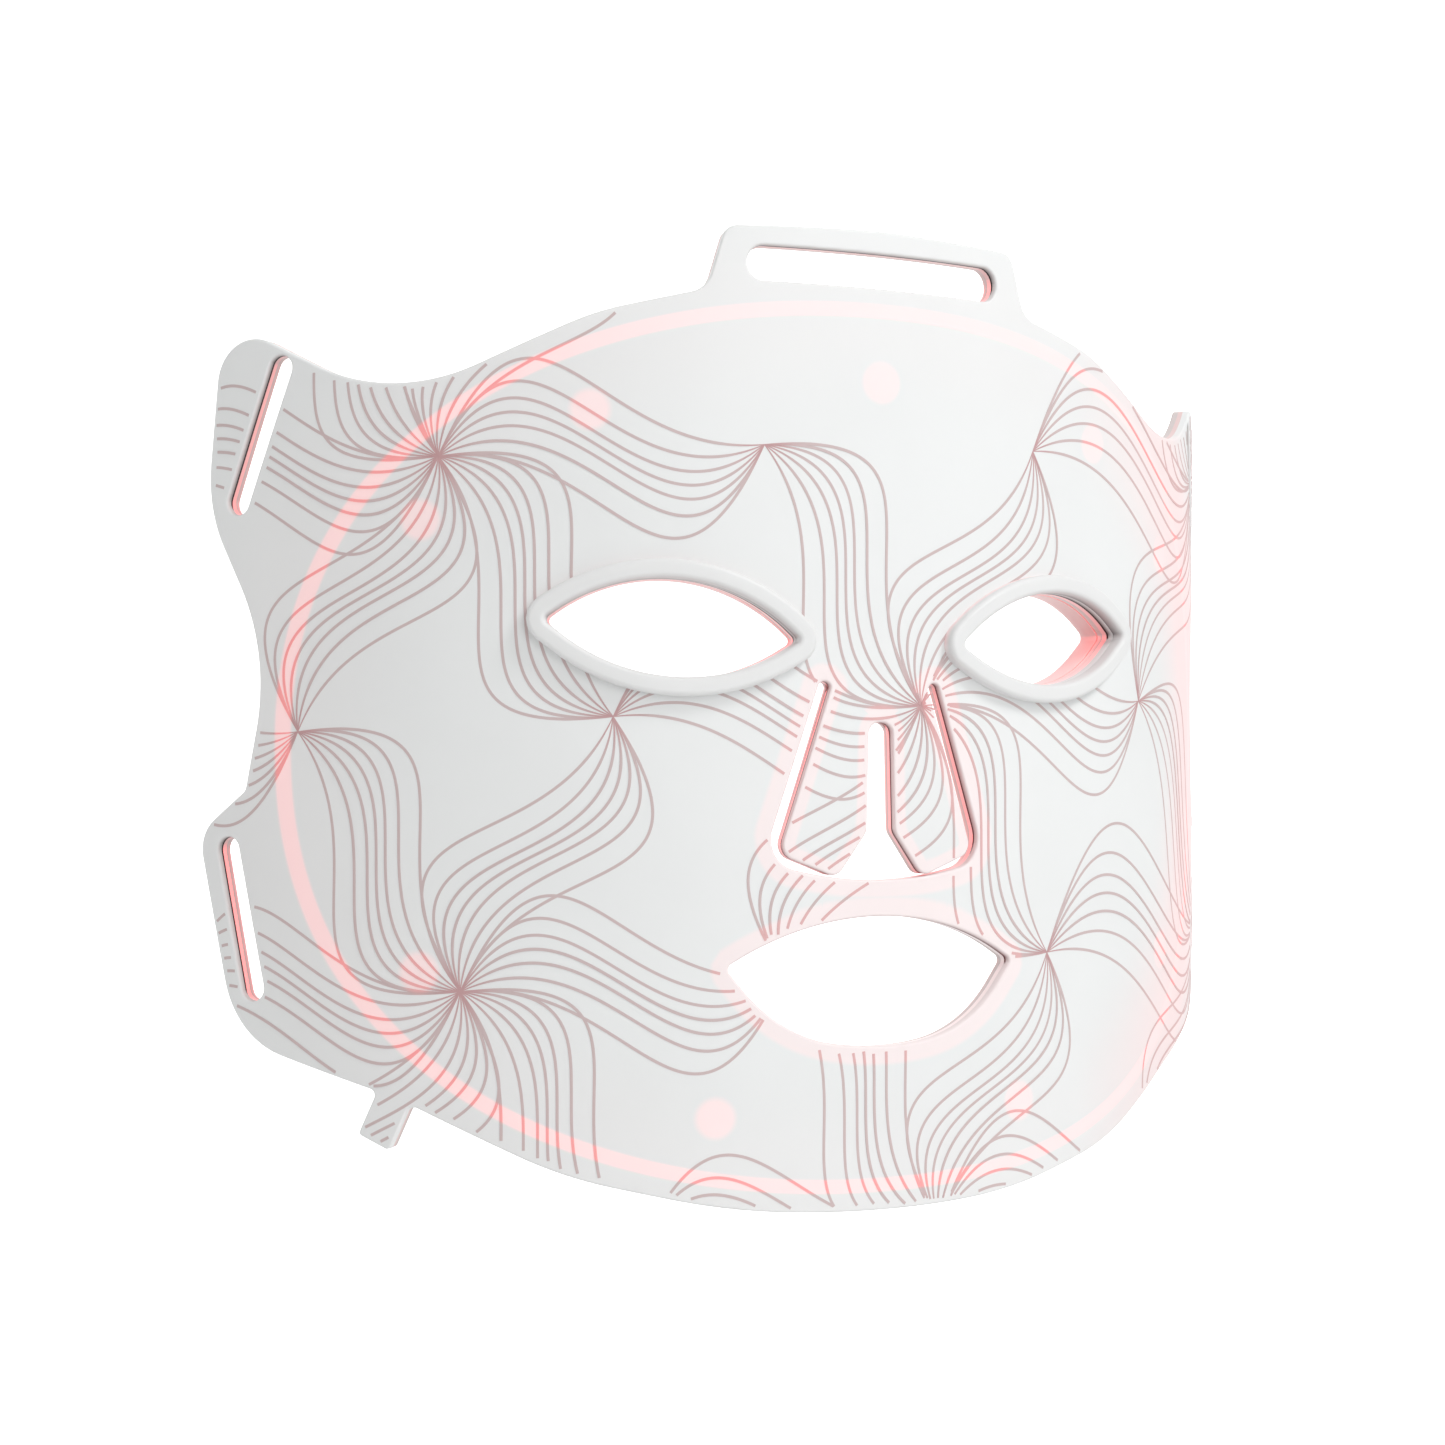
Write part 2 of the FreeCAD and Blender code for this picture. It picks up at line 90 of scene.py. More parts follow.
# Half of each mirrored outline: (across, up, corner radius), clockwise from the top of the centre line.
MASK_HALF: Outline = [
    (0, 83.3, 200), (31.4, 82.4, 3.2), (35.1, 70.3, 5), (56, 65.6, 60), (94.2, 49, 38),
    (131.7, 67.4, 8.5), (135.6, 31, 28), (120.6, 2.5, 41), (126.3, -23.6, 2), (137.8, -32, 7),
    (128.7, -71, 19), (90, -83, 80), (62, -95.6, 90), (30, -102.6, 150), (0, -104.2, 300),
]
TAB_AFTER: Corner = (90, -83, 80)
TAB_ROOT = (-94.6, -81.6)
TAB_WIDTH = 7.0
TAB_LENGTH = 9.0
TAB_LEAN = 25.0
MOUTH_HALF: Outline = [(0, -38.7, 58), (31.6, -56.9, 1.2), (20.5, -70.2, 30), (0, -73.2, 60)]
# The open gap round both nose flaps, which stay joined to the sheet along their roots.
GAP_HALF: Outline = [
    (2.5, -10.6, 2.2), (3, -31.5, 3), (9.3, -40.2, 2.5), (21.1, -35.6, 3),
    (10.5, -3.65, 1.1), (12.6, -2.2, 1.25), (24.4, -37.2, 6), (0, -42.6, 78),
]
FLAP: Outline = [(2, -9.95, 0.3), (10.5, -4.1, 0.8), (21.1, -35.6, 3), (9.3, -40.2, 2.5), (3, -31.5, 3),
                 (2.6, -13.5, 1)]
EYE: Outline = [(17.2, 4.6, 1), (40, 26, 36), (65.8, 8.3, 1), (42, -10.4, 37)]
UPPER_SLOT = ((118.1, 56.8), (127.9, 31.8))
LOWER_SLOT = ((130.3, -35), (124.5, -61.4))
SIDE_SLOT_WIDTH = 5.0
TOP_SLOT = ((-24, 75.6), (24, 75.6))
TOP_SLOT_WIDTH = 6.7
POSTS = [(0, 54.3), (57, 47.3), (89, 27), (89.3, -57.6), (33.5, -85)]
POST_RADIUS = 3.75

# The clear strip that shows as a line of light.
BAND_HALF_WIDTH = 117.5
BAND_HALF_HEIGHT = 83.4
BAND_MIDDLE = -15.5
BAND_POWER = 2.2
BAND_WIDTH = 3.0
OPENING_BAND = 3.4
FLAP_BAND = 2.4

# A flap stays joined to the sheet along the line between these two points, which is its hinge.
ROOT_INNER = (0.9, -10.28)
ROOT_OUTER = (10.5, -3.65)

FAR = 60.0  # stands for "nowhere near" in a gap field, in mm
WALL_NEAR = 0.3  # a point nearer than this to an opening's line, in mm, is on its cut wall
WELD = 0.004  # vertices nearer than this, in mm, become one
ON_PLANE = 1e-4  # how near to a height or a cutting plane counts as on it, in mm


# ---------------------------------------------------------------- outlines


def mirror(corners: Outline) -> Outline:
    """The same corners on the other side of the centre line, in clockwise order again."""
    return [(-across, up, radius) for across, up, radius in reversed(corners)]


def whole(half: Outline) -> Outline:
    """A closed outline from its right half, with corners on the centre line kept once."""
    return half + [corner for corner in mirror(half) if corner[0] != 0]


def turn_at(corners: Outline, i: int) -> tuple[float, float]:
    """The heading before a corner and the turn made there, in radians.

    Args:
        corners: the outline.
        i: the corner's number.

    Returns:
        The two angles.
    """
    before, here, after = corners[i - 1], corners[i], corners[(i + 1) % len(corners)]
    first = math.atan2(here[1] - before[1], here[0] - before[0])
    second = math.atan2(after[1] - here[1], after[0] - here[0])
    return first, math.remainder(second - first, 2 * math.pi)


def grow(corners: Outline, distance: float) -> Outline:
    """Moves every edge of a clockwise outline outwards and keeps the corners concentric.

    Args:
        corners: the outline.
        distance: how far, in mm; negative moves the edges inwards.

    Returns:
        The grown outline, corner for corner.
    """
    grown = []
    for i, (across, up, radius) in enumerate(corners):
        heading, turn = turn_at(corners, i)
        middle = heading + turn / 2 + math.pi / 2
        reach = distance / math.cos(turn / 2)
        new_radius = max(radius - math.copysign(1, turn) * distance, 0.1)
        grown.append((across + reach * math.cos(middle), up + reach * math.sin(middle), new_radius))
    return grown


def arc_counts(corners: Outline, step: float) -> list[int]:
    """How many straight pieces each round corner gets, for pieces of about one step.

    Args:
        corners: the outline.
        step: the length of a piece, in mm.

    Returns:
        One count for each corner.
    """
    counts = []
    for i, (_, _, radius) in enumerate(corners):
        turn = abs(turn_at(corners, i)[1])
        counts.append(max(6, math.ceil(radius * turn / step)))
    return counts


def ring_of(corners: Outline, counts: list[int]) -> list[Vector]:
    """Points round an outline, with each corner rounded to its radius.

    Args:
        corners: the outline.
        counts: straight pieces in each corner's arc.

    Returns:
        The flat points in order, in mm.
    """
    points = []
    for i, (across, up, radius) in enumerate(corners):
        here = Vector((across, up))
        inward = (Vector(corners[i - 1][:2]) - here).normalized()
        outward = (Vector(corners[(i + 1) % len(corners)][:2]) - here).normalized()
        half_turn = (math.pi - inward.angle(outward)) / 2
        trim = radius * math.tan(half_turn)
        enter = here + inward * trim
        leave = here + outward * trim
        for k in range(counts[i] + 1):
            u = k / counts[i]
            pulls = ((1 - u) ** 2, 2 * u * (1 - u) * math.cos(half_turn), u * u)
            points.append((enter * pulls[0] + here * pulls[1] + leave * pulls[2]) / sum(pulls))
    return points


def slot_outline(ends: tuple, width: float) -> Outline:
    """A round-ended slot between two flat points, clockwise.

    Args:
        ends: the flat middles of its two ends.
        width: its width, in mm.

    Returns:
        The outline.
    """
    start = Vector(ends[0])
    stop = Vector(ends[1])
    along = (stop - start).normalized() * width / 2
    side = Vector((along.y, -along.x))
    ring = [start - along - side, stop + along - side, stop + along + side, start - along + side]
    return [(point.x, point.y, width / 2 - 0.01) for point in ring]


def mask_outline() -> Outline:
    """The whole outer edge, with the inlet tab on the lower left.

    Returns:
        The outline, clockwise.
    """
    lean = math.radians(TAB_LEAN)
    along = Vector((-math.sin(lean), -math.cos(lean)))
    beside = Vector((math.cos(lean), -math.sin(lean))) * TAB_WIDTH / 2
    root = Vector(TAB_ROOT)
    tip = root + along * TAB_LENGTH
    tab = [(*(root + beside), 1.0), (*(tip + beside), 1.0), (*(tip - beside), 0.8), (*(root - beside), 1.2)]
    left = []
    for corner in mirror([c for c in MASK_HALF if c[0] != 0]):
        if corner[:2] == (-TAB_AFTER[0], TAB_AFTER[1]):
            left.append((*corner[:2], 1.0))
            left += tab
        else:
            left.append(corner)
    return MASK_HALF + left


def band_outline(outset: float) -> list[Vector]:
    """Points along the light band's line, moved outwards by outset, clockwise.

    Args:
        outset: how far outwards, in mm.

    Returns:
        The flat points.
    """
    points = []
    count = 240
    for i in range(count):
        angle = -2 * math.pi * i / count
        run = math.copysign(abs(math.cos(angle)) ** (2 / BAND_POWER), math.cos(angle))
        rise = math.copysign(abs(math.sin(angle)) ** (2 / BAND_POWER), math.sin(angle))
        across = run * (BAND_HALF_WIDTH + outset)
        points.append(Vector((across, BAND_MIDDLE + rise * (BAND_HALF_HEIGHT + outset))))
    return points


def strap_slots() -> list[Outline]:
    """The outlines of the five strap slots."""
    right = [slot_outline(UPPER_SLOT, SIDE_SLOT_WIDTH), slot_outline(LOWER_SLOT, SIDE_SLOT_WIDTH)]
    return right + [mirror(slot) for slot in right] + [slot_outline(TOP_SLOT, TOP_SLOT_WIDTH)]


def both(corners: Outline) -> list[Outline]:
    """A right-hand outline and its mirror image."""
    return [corners, mirror(corners)]


# ---------------------------------------------------------------- flat measures


def gap_to(points: np.ndarray, rings: list[list[Vector]]) -> np.ndarray:
    """The shortest distance from each flat point to any of the closed rings, in mm, up to FAR.

    Args:
        points: rows of (across, up).
        rings: the closed rings, each stood up as a wall that the search runs against.

    Returns:
        One distance for each point.
    """
    corners = []
    walls = []
    for ring in rings:
        first = len(corners)
        for point in ring:
            corners += [(point.x, point.y, -1), (point.x, point.y, 1)]
        count = len(ring)
        for i in range(count):
            low = first + 2 * i
            following = first + 2 * ((i + 1) % count)
            walls.append((low, following, following + 1, low + 1))
    tree = BVHTree.FromPolygons(corners, walls)
    found = [tree.find_nearest((across, up, 0), FAR)[3] for across, up in points]
    return np.array([FAR if distance is None else distance for distance in found])


def inside(points: np.ndarray, ring: list[Vector]) -> np.ndarray:
    """True for each flat point that lies within the closed ring.

    Args:
        points: rows of (across, up).
        ring: the closed ring.

    Returns:
        One answer for each point.
    """
    within = np.zeros(len(points), bool)
    for here, after in zip(ring, ring[1:] + ring[:1]):
        if here.y == after.y:
            continue
        spans = (points[:, 1] > min(here.y, after.y)) & (points[:, 1] <= max(here.y, after.y))
        crossing = here.x + (points[:, 1] - here.y) * (after.x - here.x) / (after.y - here.y)
        within ^= spans & (points[:, 0] < crossing)
    return within


def fine_ring(corners: Outline, step: float = 1.0) -> list[Vector]:
    """The points round an outline, about one step apart in its arcs."""
    return ring_of(corners, arc_counts(corners, step))


def over_sheet(across: float, up: float, radius: float) -> Vector:
    """The point in space over a flat point at this bending radius, in metres."""
    angle = across / OUTER
    return Vector((radius * math.sin(angle), AXIS - radius * math.cos(angle), up)) * MM


def root_line(side: int) -> tuple[Vector, Vector]:
    """A flap's root: its middle, and the flat direction from it down the flap.

    Args:
        side: -1 for the left flap and 1 for the right one.

    Returns:
        The middle and the direction, flat.
    """
    inner = Vector((side * ROOT_INNER[0], ROOT_INNER[1]))
    outer = Vector((side * ROOT_OUTER[0], ROOT_OUTER[1]))
    along = (outer - inner).normalized()
    down = Vector((along.y, -along.x)) * side
    return (inner + outer) / 2, down


# ---------------------------------------------------------------- mesh work


def new_verts(made: list) -> list[bmesh.types.BMVert]:
    """The vertices among what an operator made."""
    return [item for item in made if isinstance(item, bmesh.types.BMVert)]


def sweep(bm: bmesh.types.BMesh, corners: Outline, profile: Profile, step: float = 1.2) -> None:
    """Draws an outline once for each profile point and joins each drawing to the next.

    Args:
        bm: the mesh to draw in.
        corners: the outline.
        profile: (outward offset, height) pairs in mm.
        step: length of the straight pieces in round corners.
    """
    counts = arc_counts(corners, step)
    place = bm.verts.layers.int.get("place") or bm.verts.layers.int.new("place")
    offset, height = profile[0]
    verts = [bm.verts.new((*point, height)) for point in ring_of(grow(corners, offset), counts)]
    for i, vert in enumerate(verts):
        vert[place] = i
    edges = [bm.edges.new(pair) for pair in zip(verts, verts[1:] + verts[:1])]
    for offset, height in profile[1:]:
        ring = ring_of(grow(corners, offset), counts)
        made = bmesh.ops.extrude_edge_only(bm, edges=edges)["geom"]
        moved = set(new_verts(made))
        for vert in moved:
            vert.co = (*ring[vert[place]], height)
        edges = [item for item in made if isinstance(item, bmesh.types.BMEdge) and moved.issuperset(item.verts)]


def draw_ring(bm: bmesh.types.BMesh, ring: list[Vector], back: float, front: float) -> None:
    """Draws a plain upright wall round a ring of flat points.

    Args:
        bm: the mesh to draw in.
        ring: the flat points.
        back: the wall's back height.
        front: its front height.
    """
    verts = [bm.verts.new((*point, back)) for point in ring]
    edges = [bm.edges.new(pair) for pair in zip(verts, verts[1:] + verts[:1])]
    made = bmesh.ops.extrude_edge_only(bm, edges=edges)["geom"]
    bmesh.ops.translate(bm, verts=new_verts(made), vec=(0, 0, front - back))


def cap(bm: bmesh.types.BMesh, height: float) -> None:
    """Fills between all the open rings at one height."""
    edges = [e for e in bm.edges if e.is_boundary and all(abs(v.co.z - height) < ON_PLANE for v in e.verts)]
    bmesh.ops.triangle_fill(bm, use_beauty=True, use_dissolve=False, edges=edges)


def grid(bm: bmesh.types.BMesh, across_step: float, up_step: float) -> None:
    """Cuts a flat mesh along a grid, so that it can be bent and can carry fields.

    Args:
        bm: the flat mesh.
        across_step: distance between the upright cuts, in mm.
        up_step: distance between the level cuts.
    """
    for axis, step in ((1, up_step), (0, across_step)):
        low = min(v.co[axis] for v in bm.verts)
        high = max(v.co[axis] for v in bm.verts)
        normal = [1 if i == axis else 0 for i in range(3)]
        for k in range(math.ceil(low / step), math.floor(high / step) + 1):
            point = [k * step * n for n in normal]
            geom = bm.verts[:] + bm.edges[:] + bm.faces[:]
            bmesh.ops.bisect_plane(bm, geom=geom, dist=ON_PLANE, plane_co=point, plane_no=normal)


def rounded_profile(back: float, front: float, radius: float, round_front: bool) -> Profile:
    """A sheet's edge from back to front with one edge rounded, as (outward offset, height) pairs.

    Args:
        back: the sheet's back height.
        front: its front height.
        radius: the rounding, in mm.
        round_front: True to round the front edge, False for the back one.

    Returns:
        The profile.
    """
    steps = 4
    arc = [math.pi / 2 * i / steps for i in range(steps + 1)]
    if round_front:
        return [(0, back)] + [(-radius * (1 - math.cos(a)), front - radius * (1 - math.sin(a))) for a in arc]
    return [(-radius * (1 - math.sin(a)), back + radius * (1 - math.cos(a))) for a in arc] + [(0, front)]


def ring_profile(width: float, back: float, front: float, radius: float) -> Profile:
    """The closed section of a ring that stands round an opening: inner wall, rounded front, outer wall.

    Args:
        width: the ring's width, in mm.
        back: its back height.
        front: its front height.
        radius: the rounding of its front edges.

    Returns:
        The profile, closed.
    """
    steps = 5
    arc = [math.pi / 2 * i / steps for i in range(steps + 1)]
    inner = [(radius * (1 - math.cos(a)), front - radius * (1 - math.sin(a))) for a in arc]
    outer = [(width - offset, height) for offset, height in reversed(inner)]
    return [(0, back)] + inner + outer + [(width, back), (0, back)]


@dataclass
class Piece:
    """A finished mesh on its way into the scene, still flat.

    Attributes:
        name: the object's name.
        bm: the mesh in flat millimetres.
        fields: values for each vertex, by attribute name.
    """

    name: str
    bm: bmesh.types.BMesh
    fields: dict[str, np.ndarray] = field(default_factory=dict)

    def flat(self) -> np.ndarray:
        """The flat (across, up) of every vertex."""
        return np.array([(v.co.x, v.co.y) for v in self.bm.verts]).reshape(-1, 2)

    def bend(self) -> None:
        """Lays the flat mesh on the cylinder and turns millimetres into metres."""
        for vert in self.bm.verts:
            across, up, proud = vert.co
            vert.co = over_sheet(across, up, OUTER + proud)

    def place(self, sharp: float = 40.0) -> bpy.types.Object:
        """Bends the mesh, adds it to the scene and smooths its shading.

        Args:
            sharp: edges that turn more than this many degrees stay sharp.

        Returns:
            The new object.
        """
        self.bend()
        bmesh.ops.recalc_face_normals(self.bm, faces=self.bm.faces)
        for face in self.bm.faces:
            face.smooth = True
        for edge in self.bm.edges:
            edge.smooth = edge.calc_face_angle(math.pi) < math.radians(sharp)
        mesh = bpy.data.meshes.new(self.name)
        self.bm.to_mesh(mesh)
        self.bm.free()
        for name, values in self.fields.items():
            attribute = mesh.attributes.new(name, "FLOAT", "POINT")
            attribute.data.foreach_set("value", values.astype(np.float32))
        thing = bpy.data.objects.new(self.name, mesh)
        bpy.context.scene.collection.objects.link(thing)
        weighted = thing.modifiers.new("even shading", "WEIGHTED_NORMAL")
        weighted.keep_sharp = True
        return thing


# ---------------------------------------------------------------- finishes


def linear(colour: str) -> tuple[float, float, float, float]:
    """An sRGB hex colour as linear RGBA."""
    values = [int(colour[i:i + 2], 16) / 255 for i in (1, 3, 5)]
    return (*[v / 12.92 if v <= 0.04045 else ((v + 0.055) / 1.055) ** 2.4 for v in values], 1.0)


def add_node(tree: bpy.types.NodeTree, kind: str, inputs: Optional[dict] = None, **settings: Any) -> bpy.types.Node:
    """Adds one node.

    Args:
        tree: the material's node tree.
        kind: the node's type name after "ShaderNode".
        inputs: for each input, by name or number, the socket that feeds it or its value.
        settings: the node's own properties.

    Returns:
        The new node.
    """
    node = tree.nodes.new("ShaderNode" + kind)
    for name, value in settings.items():
        setattr(node, name, value)
    for key, value in (inputs or {}).items():
        if isinstance(value, bpy.types.NodeSocket):
            tree.links.new(value, node.inputs[key])
        else:
            node.inputs[key].default_value = value
    return node


def new_material(name: str) -> tuple[bpy.types.Material, bpy.types.NodeTree]:
    """An empty node material and its tree.

    Args:
        name: the material's name.

    Returns:
        The material and its tree.
    """
    material = bpy.data.materials.new(name)
    material.use_nodes = True
    material.node_tree.nodes.clear()
    return material, material.node_tree


class Light(Enum):
    """Where a silicone sheet lets the red light out."""

    WINDOWS = "the light band, the round posts and the strips round the openings"
    CHIPS = "a soft spot over every chip"
    EDGES = "only the cut edges"
    THROUGH = "everywhere"
    NONE = "nowhere"


@dataclass(frozen=True)
class LightPattern:
    """How strong the red light is at each place of a sheet, from 0 to 1.

    Attributes:
        post_share: a post's strength beside the band's.
        strip_share: the strength of the strips round the nose and the mouth.
        halo_mm: how far the light scatters past the band; this halo is painted on the right-hand side, and only
            weakly elsewhere.
    """

    post_share: float = 0.65
    strip_share: float = 0.36
    halo_mm: float = 30.0

    def windows(self, tree: bpy.types.NodeTree) -> tuple[bpy.types.NodeSocket, bpy.types.NodeSocket]:
        """The lit windows of the front, worked out from the place on the bent sheet.

        Args:
            tree: the material's node tree.

        Returns:
            The windows' strength, and the wide weak halo's strength.
        """
        place = add_node(tree, "TexCoord").outputs["Object"]
        apart = add_node(tree, "SeparateXYZ", {0: place})
        depth = add_node(tree, "Math", {0: AXIS * MM, 1: apart.outputs["Y"]}, operation="SUBTRACT")
        angle = add_node(tree, "Math", {0: apart.outputs["X"], 1: depth.outputs[0]}, operation="ARCTAN2")
        across = add_node(tree, "Math", {0: angle.outputs[0], 1: OUTER}, operation="MULTIPLY")
        across = add_node(tree, "Math", {0: across.outputs[0]}, operation="ABSOLUTE").outputs[0]
        up = add_node(tree, "Math", {0: apart.outputs["Z"], 1: 1 / MM}, operation="MULTIPLY").outputs[0]
        rise = add_node(tree, "Math", {0: up, 1: BAND_MIDDLE}, operation="SUBTRACT")
        rise = add_node(tree, "Math", {0: rise.outputs[0]}, operation="ABSOLUTE").outputs[0]
        shares = []
        for value, half in ((across, BAND_HALF_WIDTH), (rise, BAND_HALF_HEIGHT)):
            share = add_node(tree, "Math", {0: value, 1: half}, operation="DIVIDE")
            power = add_node(tree, "Math", {0: share.outputs[0], 1: BAND_POWER}, operation="POWER")
            shares.append(power.outputs[0])
        total = add_node(tree, "Math", {0: shares[0], 1: shares[1]}, operation="ADD")
        spread = add_node(tree, "Math", {0: total.outputs[0], 1: 1 / BAND_POWER}, operation="POWER")
        mean_half = (BAND_HALF_WIDTH + BAND_HALF_HEIGHT) / 2
        off_line = add_node(tree, "Math", {0: spread.outputs[0], 1: 1.0}, operation="SUBTRACT")
        off_line = add_node(tree, "Math", {0: off_line.outputs[0]}, operation="ABSOLUTE")
        off_line = add_node(tree, "Math", {0: off_line.outputs[0], 1: mean_half}, operation="MULTIPLY").outputs[0]
        lit = self.fade(tree, off_line, BAND_WIDTH / 2, 1.0, 0.9)
        for post_across, post_up in POSTS:
            run = add_node(tree, "Math", {0: across, 1: post_across}, operation="SUBTRACT").outputs[0]
            climb = add_node(tree, "Math", {0: up, 1: post_up}, operation="SUBTRACT").outputs[0]
            joined = add_node(tree, "CombineXYZ", {0: run, 1: climb})
            away = add_node(tree, "VectorMath", {0: joined.outputs[0]}, operation="LENGTH").outputs["Value"]
            spot = self.fade(tree, away, POST_RADIUS, self.post_share, 1.8)
            lit = add_node(tree, "Math", {0: lit, 1: spot}, operation="MAXIMUM").outputs[0]
        gap = add_node(tree, "Attribute", attribute_name="lit_gap").outputs["Fac"]
        strip = self.fade(tree, gap, OPENING_BAND, self.strip_share, 1.2)
        lit = add_node(tree, "Math", {0: lit, 1: strip}, operation="MAXIMUM").outputs[0]
        halo = add_node(tree, "MapRange", {"Value": off_line, "From Min": self.halo_mm, "From Max": 0.0},
                        interpolation_type="SMOOTHERSTEP").outputs[0]
        # painted glow: the halo is strong only on the right-hand side, though the sheet is the same on both sides
        right_side_share = add_node(tree, "MapRange", {"Value": apart.outputs["X"], "From Min": 0.05, "From Max": 0.095,
                                           "To Min": 0.06, "To Max": 1.0}).outputs[0]
        halo = add_node(tree, "Math", {0: halo, 1: right_side_share}, operation="MULTIPLY").outputs[0]
        return lit, halo

    def fade(self, tree: bpy.types.NodeTree, away: bpy.types.NodeSocket, edge: float, share: float,
             softness: float) -> bpy.types.NodeSocket:
        """share nearer than edge and 0 farther, with a soft step of that many mm between."""
        ends = {"Value": away, "From Min": edge + softness / 2, "From Max": edge - softness / 2, "To Max": share}
        return add_node(tree, "MapRange", ends, interpolation_type="SMOOTHSTEP").outputs[0]


@dataclass(frozen=True)
class Silicone:
    """Liquid silicone rubber, moulded: soft, satin, slightly see-through at its edges.

    Attributes:
        name: the material's name.
        colour: the pigment's sRGB hex colour.
        roughness: satin is about 0.5.
        light: where the red light comes out.
        glow: the strength of that light.
        texture_mm: size of the mould's fine texture.
        glow_colour: the light's sRGB hex colour.
    """

    name: str
    colour: str
    roughness: float = 0.5
    light: Light = Light.NONE
    glow: float = 0.3
    texture_mm: float = 0.5
    glow_colour: str = "#FF5A5A"

    def make(self) -> bpy.types.Material:
        """Builds the material: mottled pigment with painted shade down the cut walls and a painted pink tint over
        the windows, a mould-texture bump and the red light.

        Returns:
            The material.
        """
        material, tree = new_material(self.name)
        place = add_node(tree, "TexCoord").outputs["Object"]
        # broad faint clouds, as pigment spreads unevenly in poured rubber
        clouds = add_node(tree, "TexNoise", {"Vector": place, "Scale": 1 / (35 * MM), "Detail": 2.0})
        tint = add_node(tree, "ValToRGB", {0: clouds.outputs["Fac"]})
        tint.color_ramp.elements[0].position = 0.3
        tint.color_ramp.elements[1].position = 0.7
        base = linear(self.colour)
        tint.color_ramp.elements[0].color = (*[c * 0.975 for c in base[:3]], 1)
        tint.color_ramp.elements[1].color = base
        # the blasted mould leaves a fine eggshell that breaks up the gloss
        grain = add_node(tree, "TexNoise", {"Vector": place, "Scale": 1 / (self.texture_mm * MM), "Detail": 3.0})
        bump = add_node(tree, "Bump", {"Height": grain.outputs["Fac"], "Strength": 0.12, "Distance": 0.00005})
        patch = add_node(tree, "TexNoise", {"Vector": place, "Scale": 1 / (9 * MM), "Detail": 2.0})
        gloss = add_node(tree, "MapRange", {"Value": patch.outputs["Fac"], "To Min": self.roughness - 0.05,
                                            "To Max": self.roughness + 0.05})
        pigment = tint.outputs[0]
        lit = halo = None
        if self.light is Light.WINDOWS:
            lit, halo = LightPattern().windows(tree)
            # painted light: pink tint where the windows and their halo glow
            pigment = self.painted_glow_tint(tree, pigment, lit, halo)
        shader = add_node(tree, "BsdfPrincipled", {
            "Base Color": self.shaded(tree, pigment), "Roughness": gloss.outputs[0], "Normal": bump.outputs[0],
            "IOR": 1.41, "Emission Color": linear(self.glow_colour)})
        if self.light is not Light.NONE:
            tree.links.new(self.strength(tree, lit), shader.inputs["Emission Strength"])
        output = add_node(tree, "OutputMaterial")
        tree.links.new(shader.outputs[0], output.inputs["Surface"])
        return material

    def strength(self, tree: bpy.types.NodeTree, lit: Optional[bpy.types.NodeSocket]) -> bpy.types.NodeSocket:
        """The emission strength for this sheet's kind of light.

        Args:
            tree: the material's node tree.
            lit: the windows' strength, on the sheet that has windows.

        Returns:
            The socket that carries it.
        """
        if self.light is Light.THROUGH:
            return self.shaded_facing_down(tree, self.glow)
        edge = self.shaded_facing_down(tree, add_node(tree, "Attribute", attribute_name="edge_light").outputs["Fac"])
        if self.light is Light.EDGES:
            return edge
        if self.light is Light.CHIPS:
            gap = add_node(tree, "Attribute", attribute_name="chip_gap").outputs["Fac"]
            lit = add_node(tree, "MapRange", {"Value": gap, "From Min": 7.0, "From Max": 1.0},
                           interpolation_type="SMOOTHERSTEP").outputs[0]
        near = add_node(tree, "Math", {0: lit, 1: self.glow}, operation="MULTIPLY").outputs[0]
        return add_node(tree, "Math", {0: near, 1: edge}, operation="ADD").outputs[0]

    def shaded_facing_down(self, tree: bpy.types.NodeTree, strength: Any) -> bpy.types.NodeSocket:
        """The strength, much less on walls that face down, as painted shade on their glow.

        Args:
            tree: the material's node tree.
            strength: the full strength.

        Returns:
            The socket of the reduced strength.
        """
        # painted shade: on walls that face down the glow falls to 4%
        normal = add_node(tree, "NewGeometry").outputs["Normal"]
        climb = add_node(tree, "SeparateXYZ", {0: normal}).outputs["Z"]
        share = add_node(tree, "MapRange", {"Value": climb, "From Min": -0.55, "From Max": 0.1, "To Min": 0.04})
        return add_node(tree, "Math", {0: share.outputs[0], 1: strength}, operation="MULTIPLY").outputs[0]

    def painted_glow_tint(self, tree: bpy.types.NodeTree, pigment: bpy.types.NodeSocket, lit: bpy.types.NodeSocket,
              halo: bpy.types.NodeSocket) -> bpy.types.NodeSocket:
        """Painted light: the pigment pulled towards pink over the lit windows and their halo, where the red light
        comes through.

        Args:
            tree: the material's node tree.
            pigment: the colour before.
            lit: the windows' strength.
            halo: the wide halo's strength.

        Returns:
            The socket of the tinted colour.
        """
        near = add_node(tree, "Math", {0: lit, 1: 0.35}, operation="MULTIPLY").outputs[0]
        wide = add_node(tree, "Math", {0: halo, 1: 0.85}, operation="MULTIPLY").outputs[0]
        share = add_node(tree, "Math", {0: near, 1: wide}, operation="MAXIMUM").outputs[0]
        return add_node(tree, "Mix", {"Factor": share, 6: pigment, 7: linear("#F8DCDC")},
                        data_type="RGBA").outputs[2]

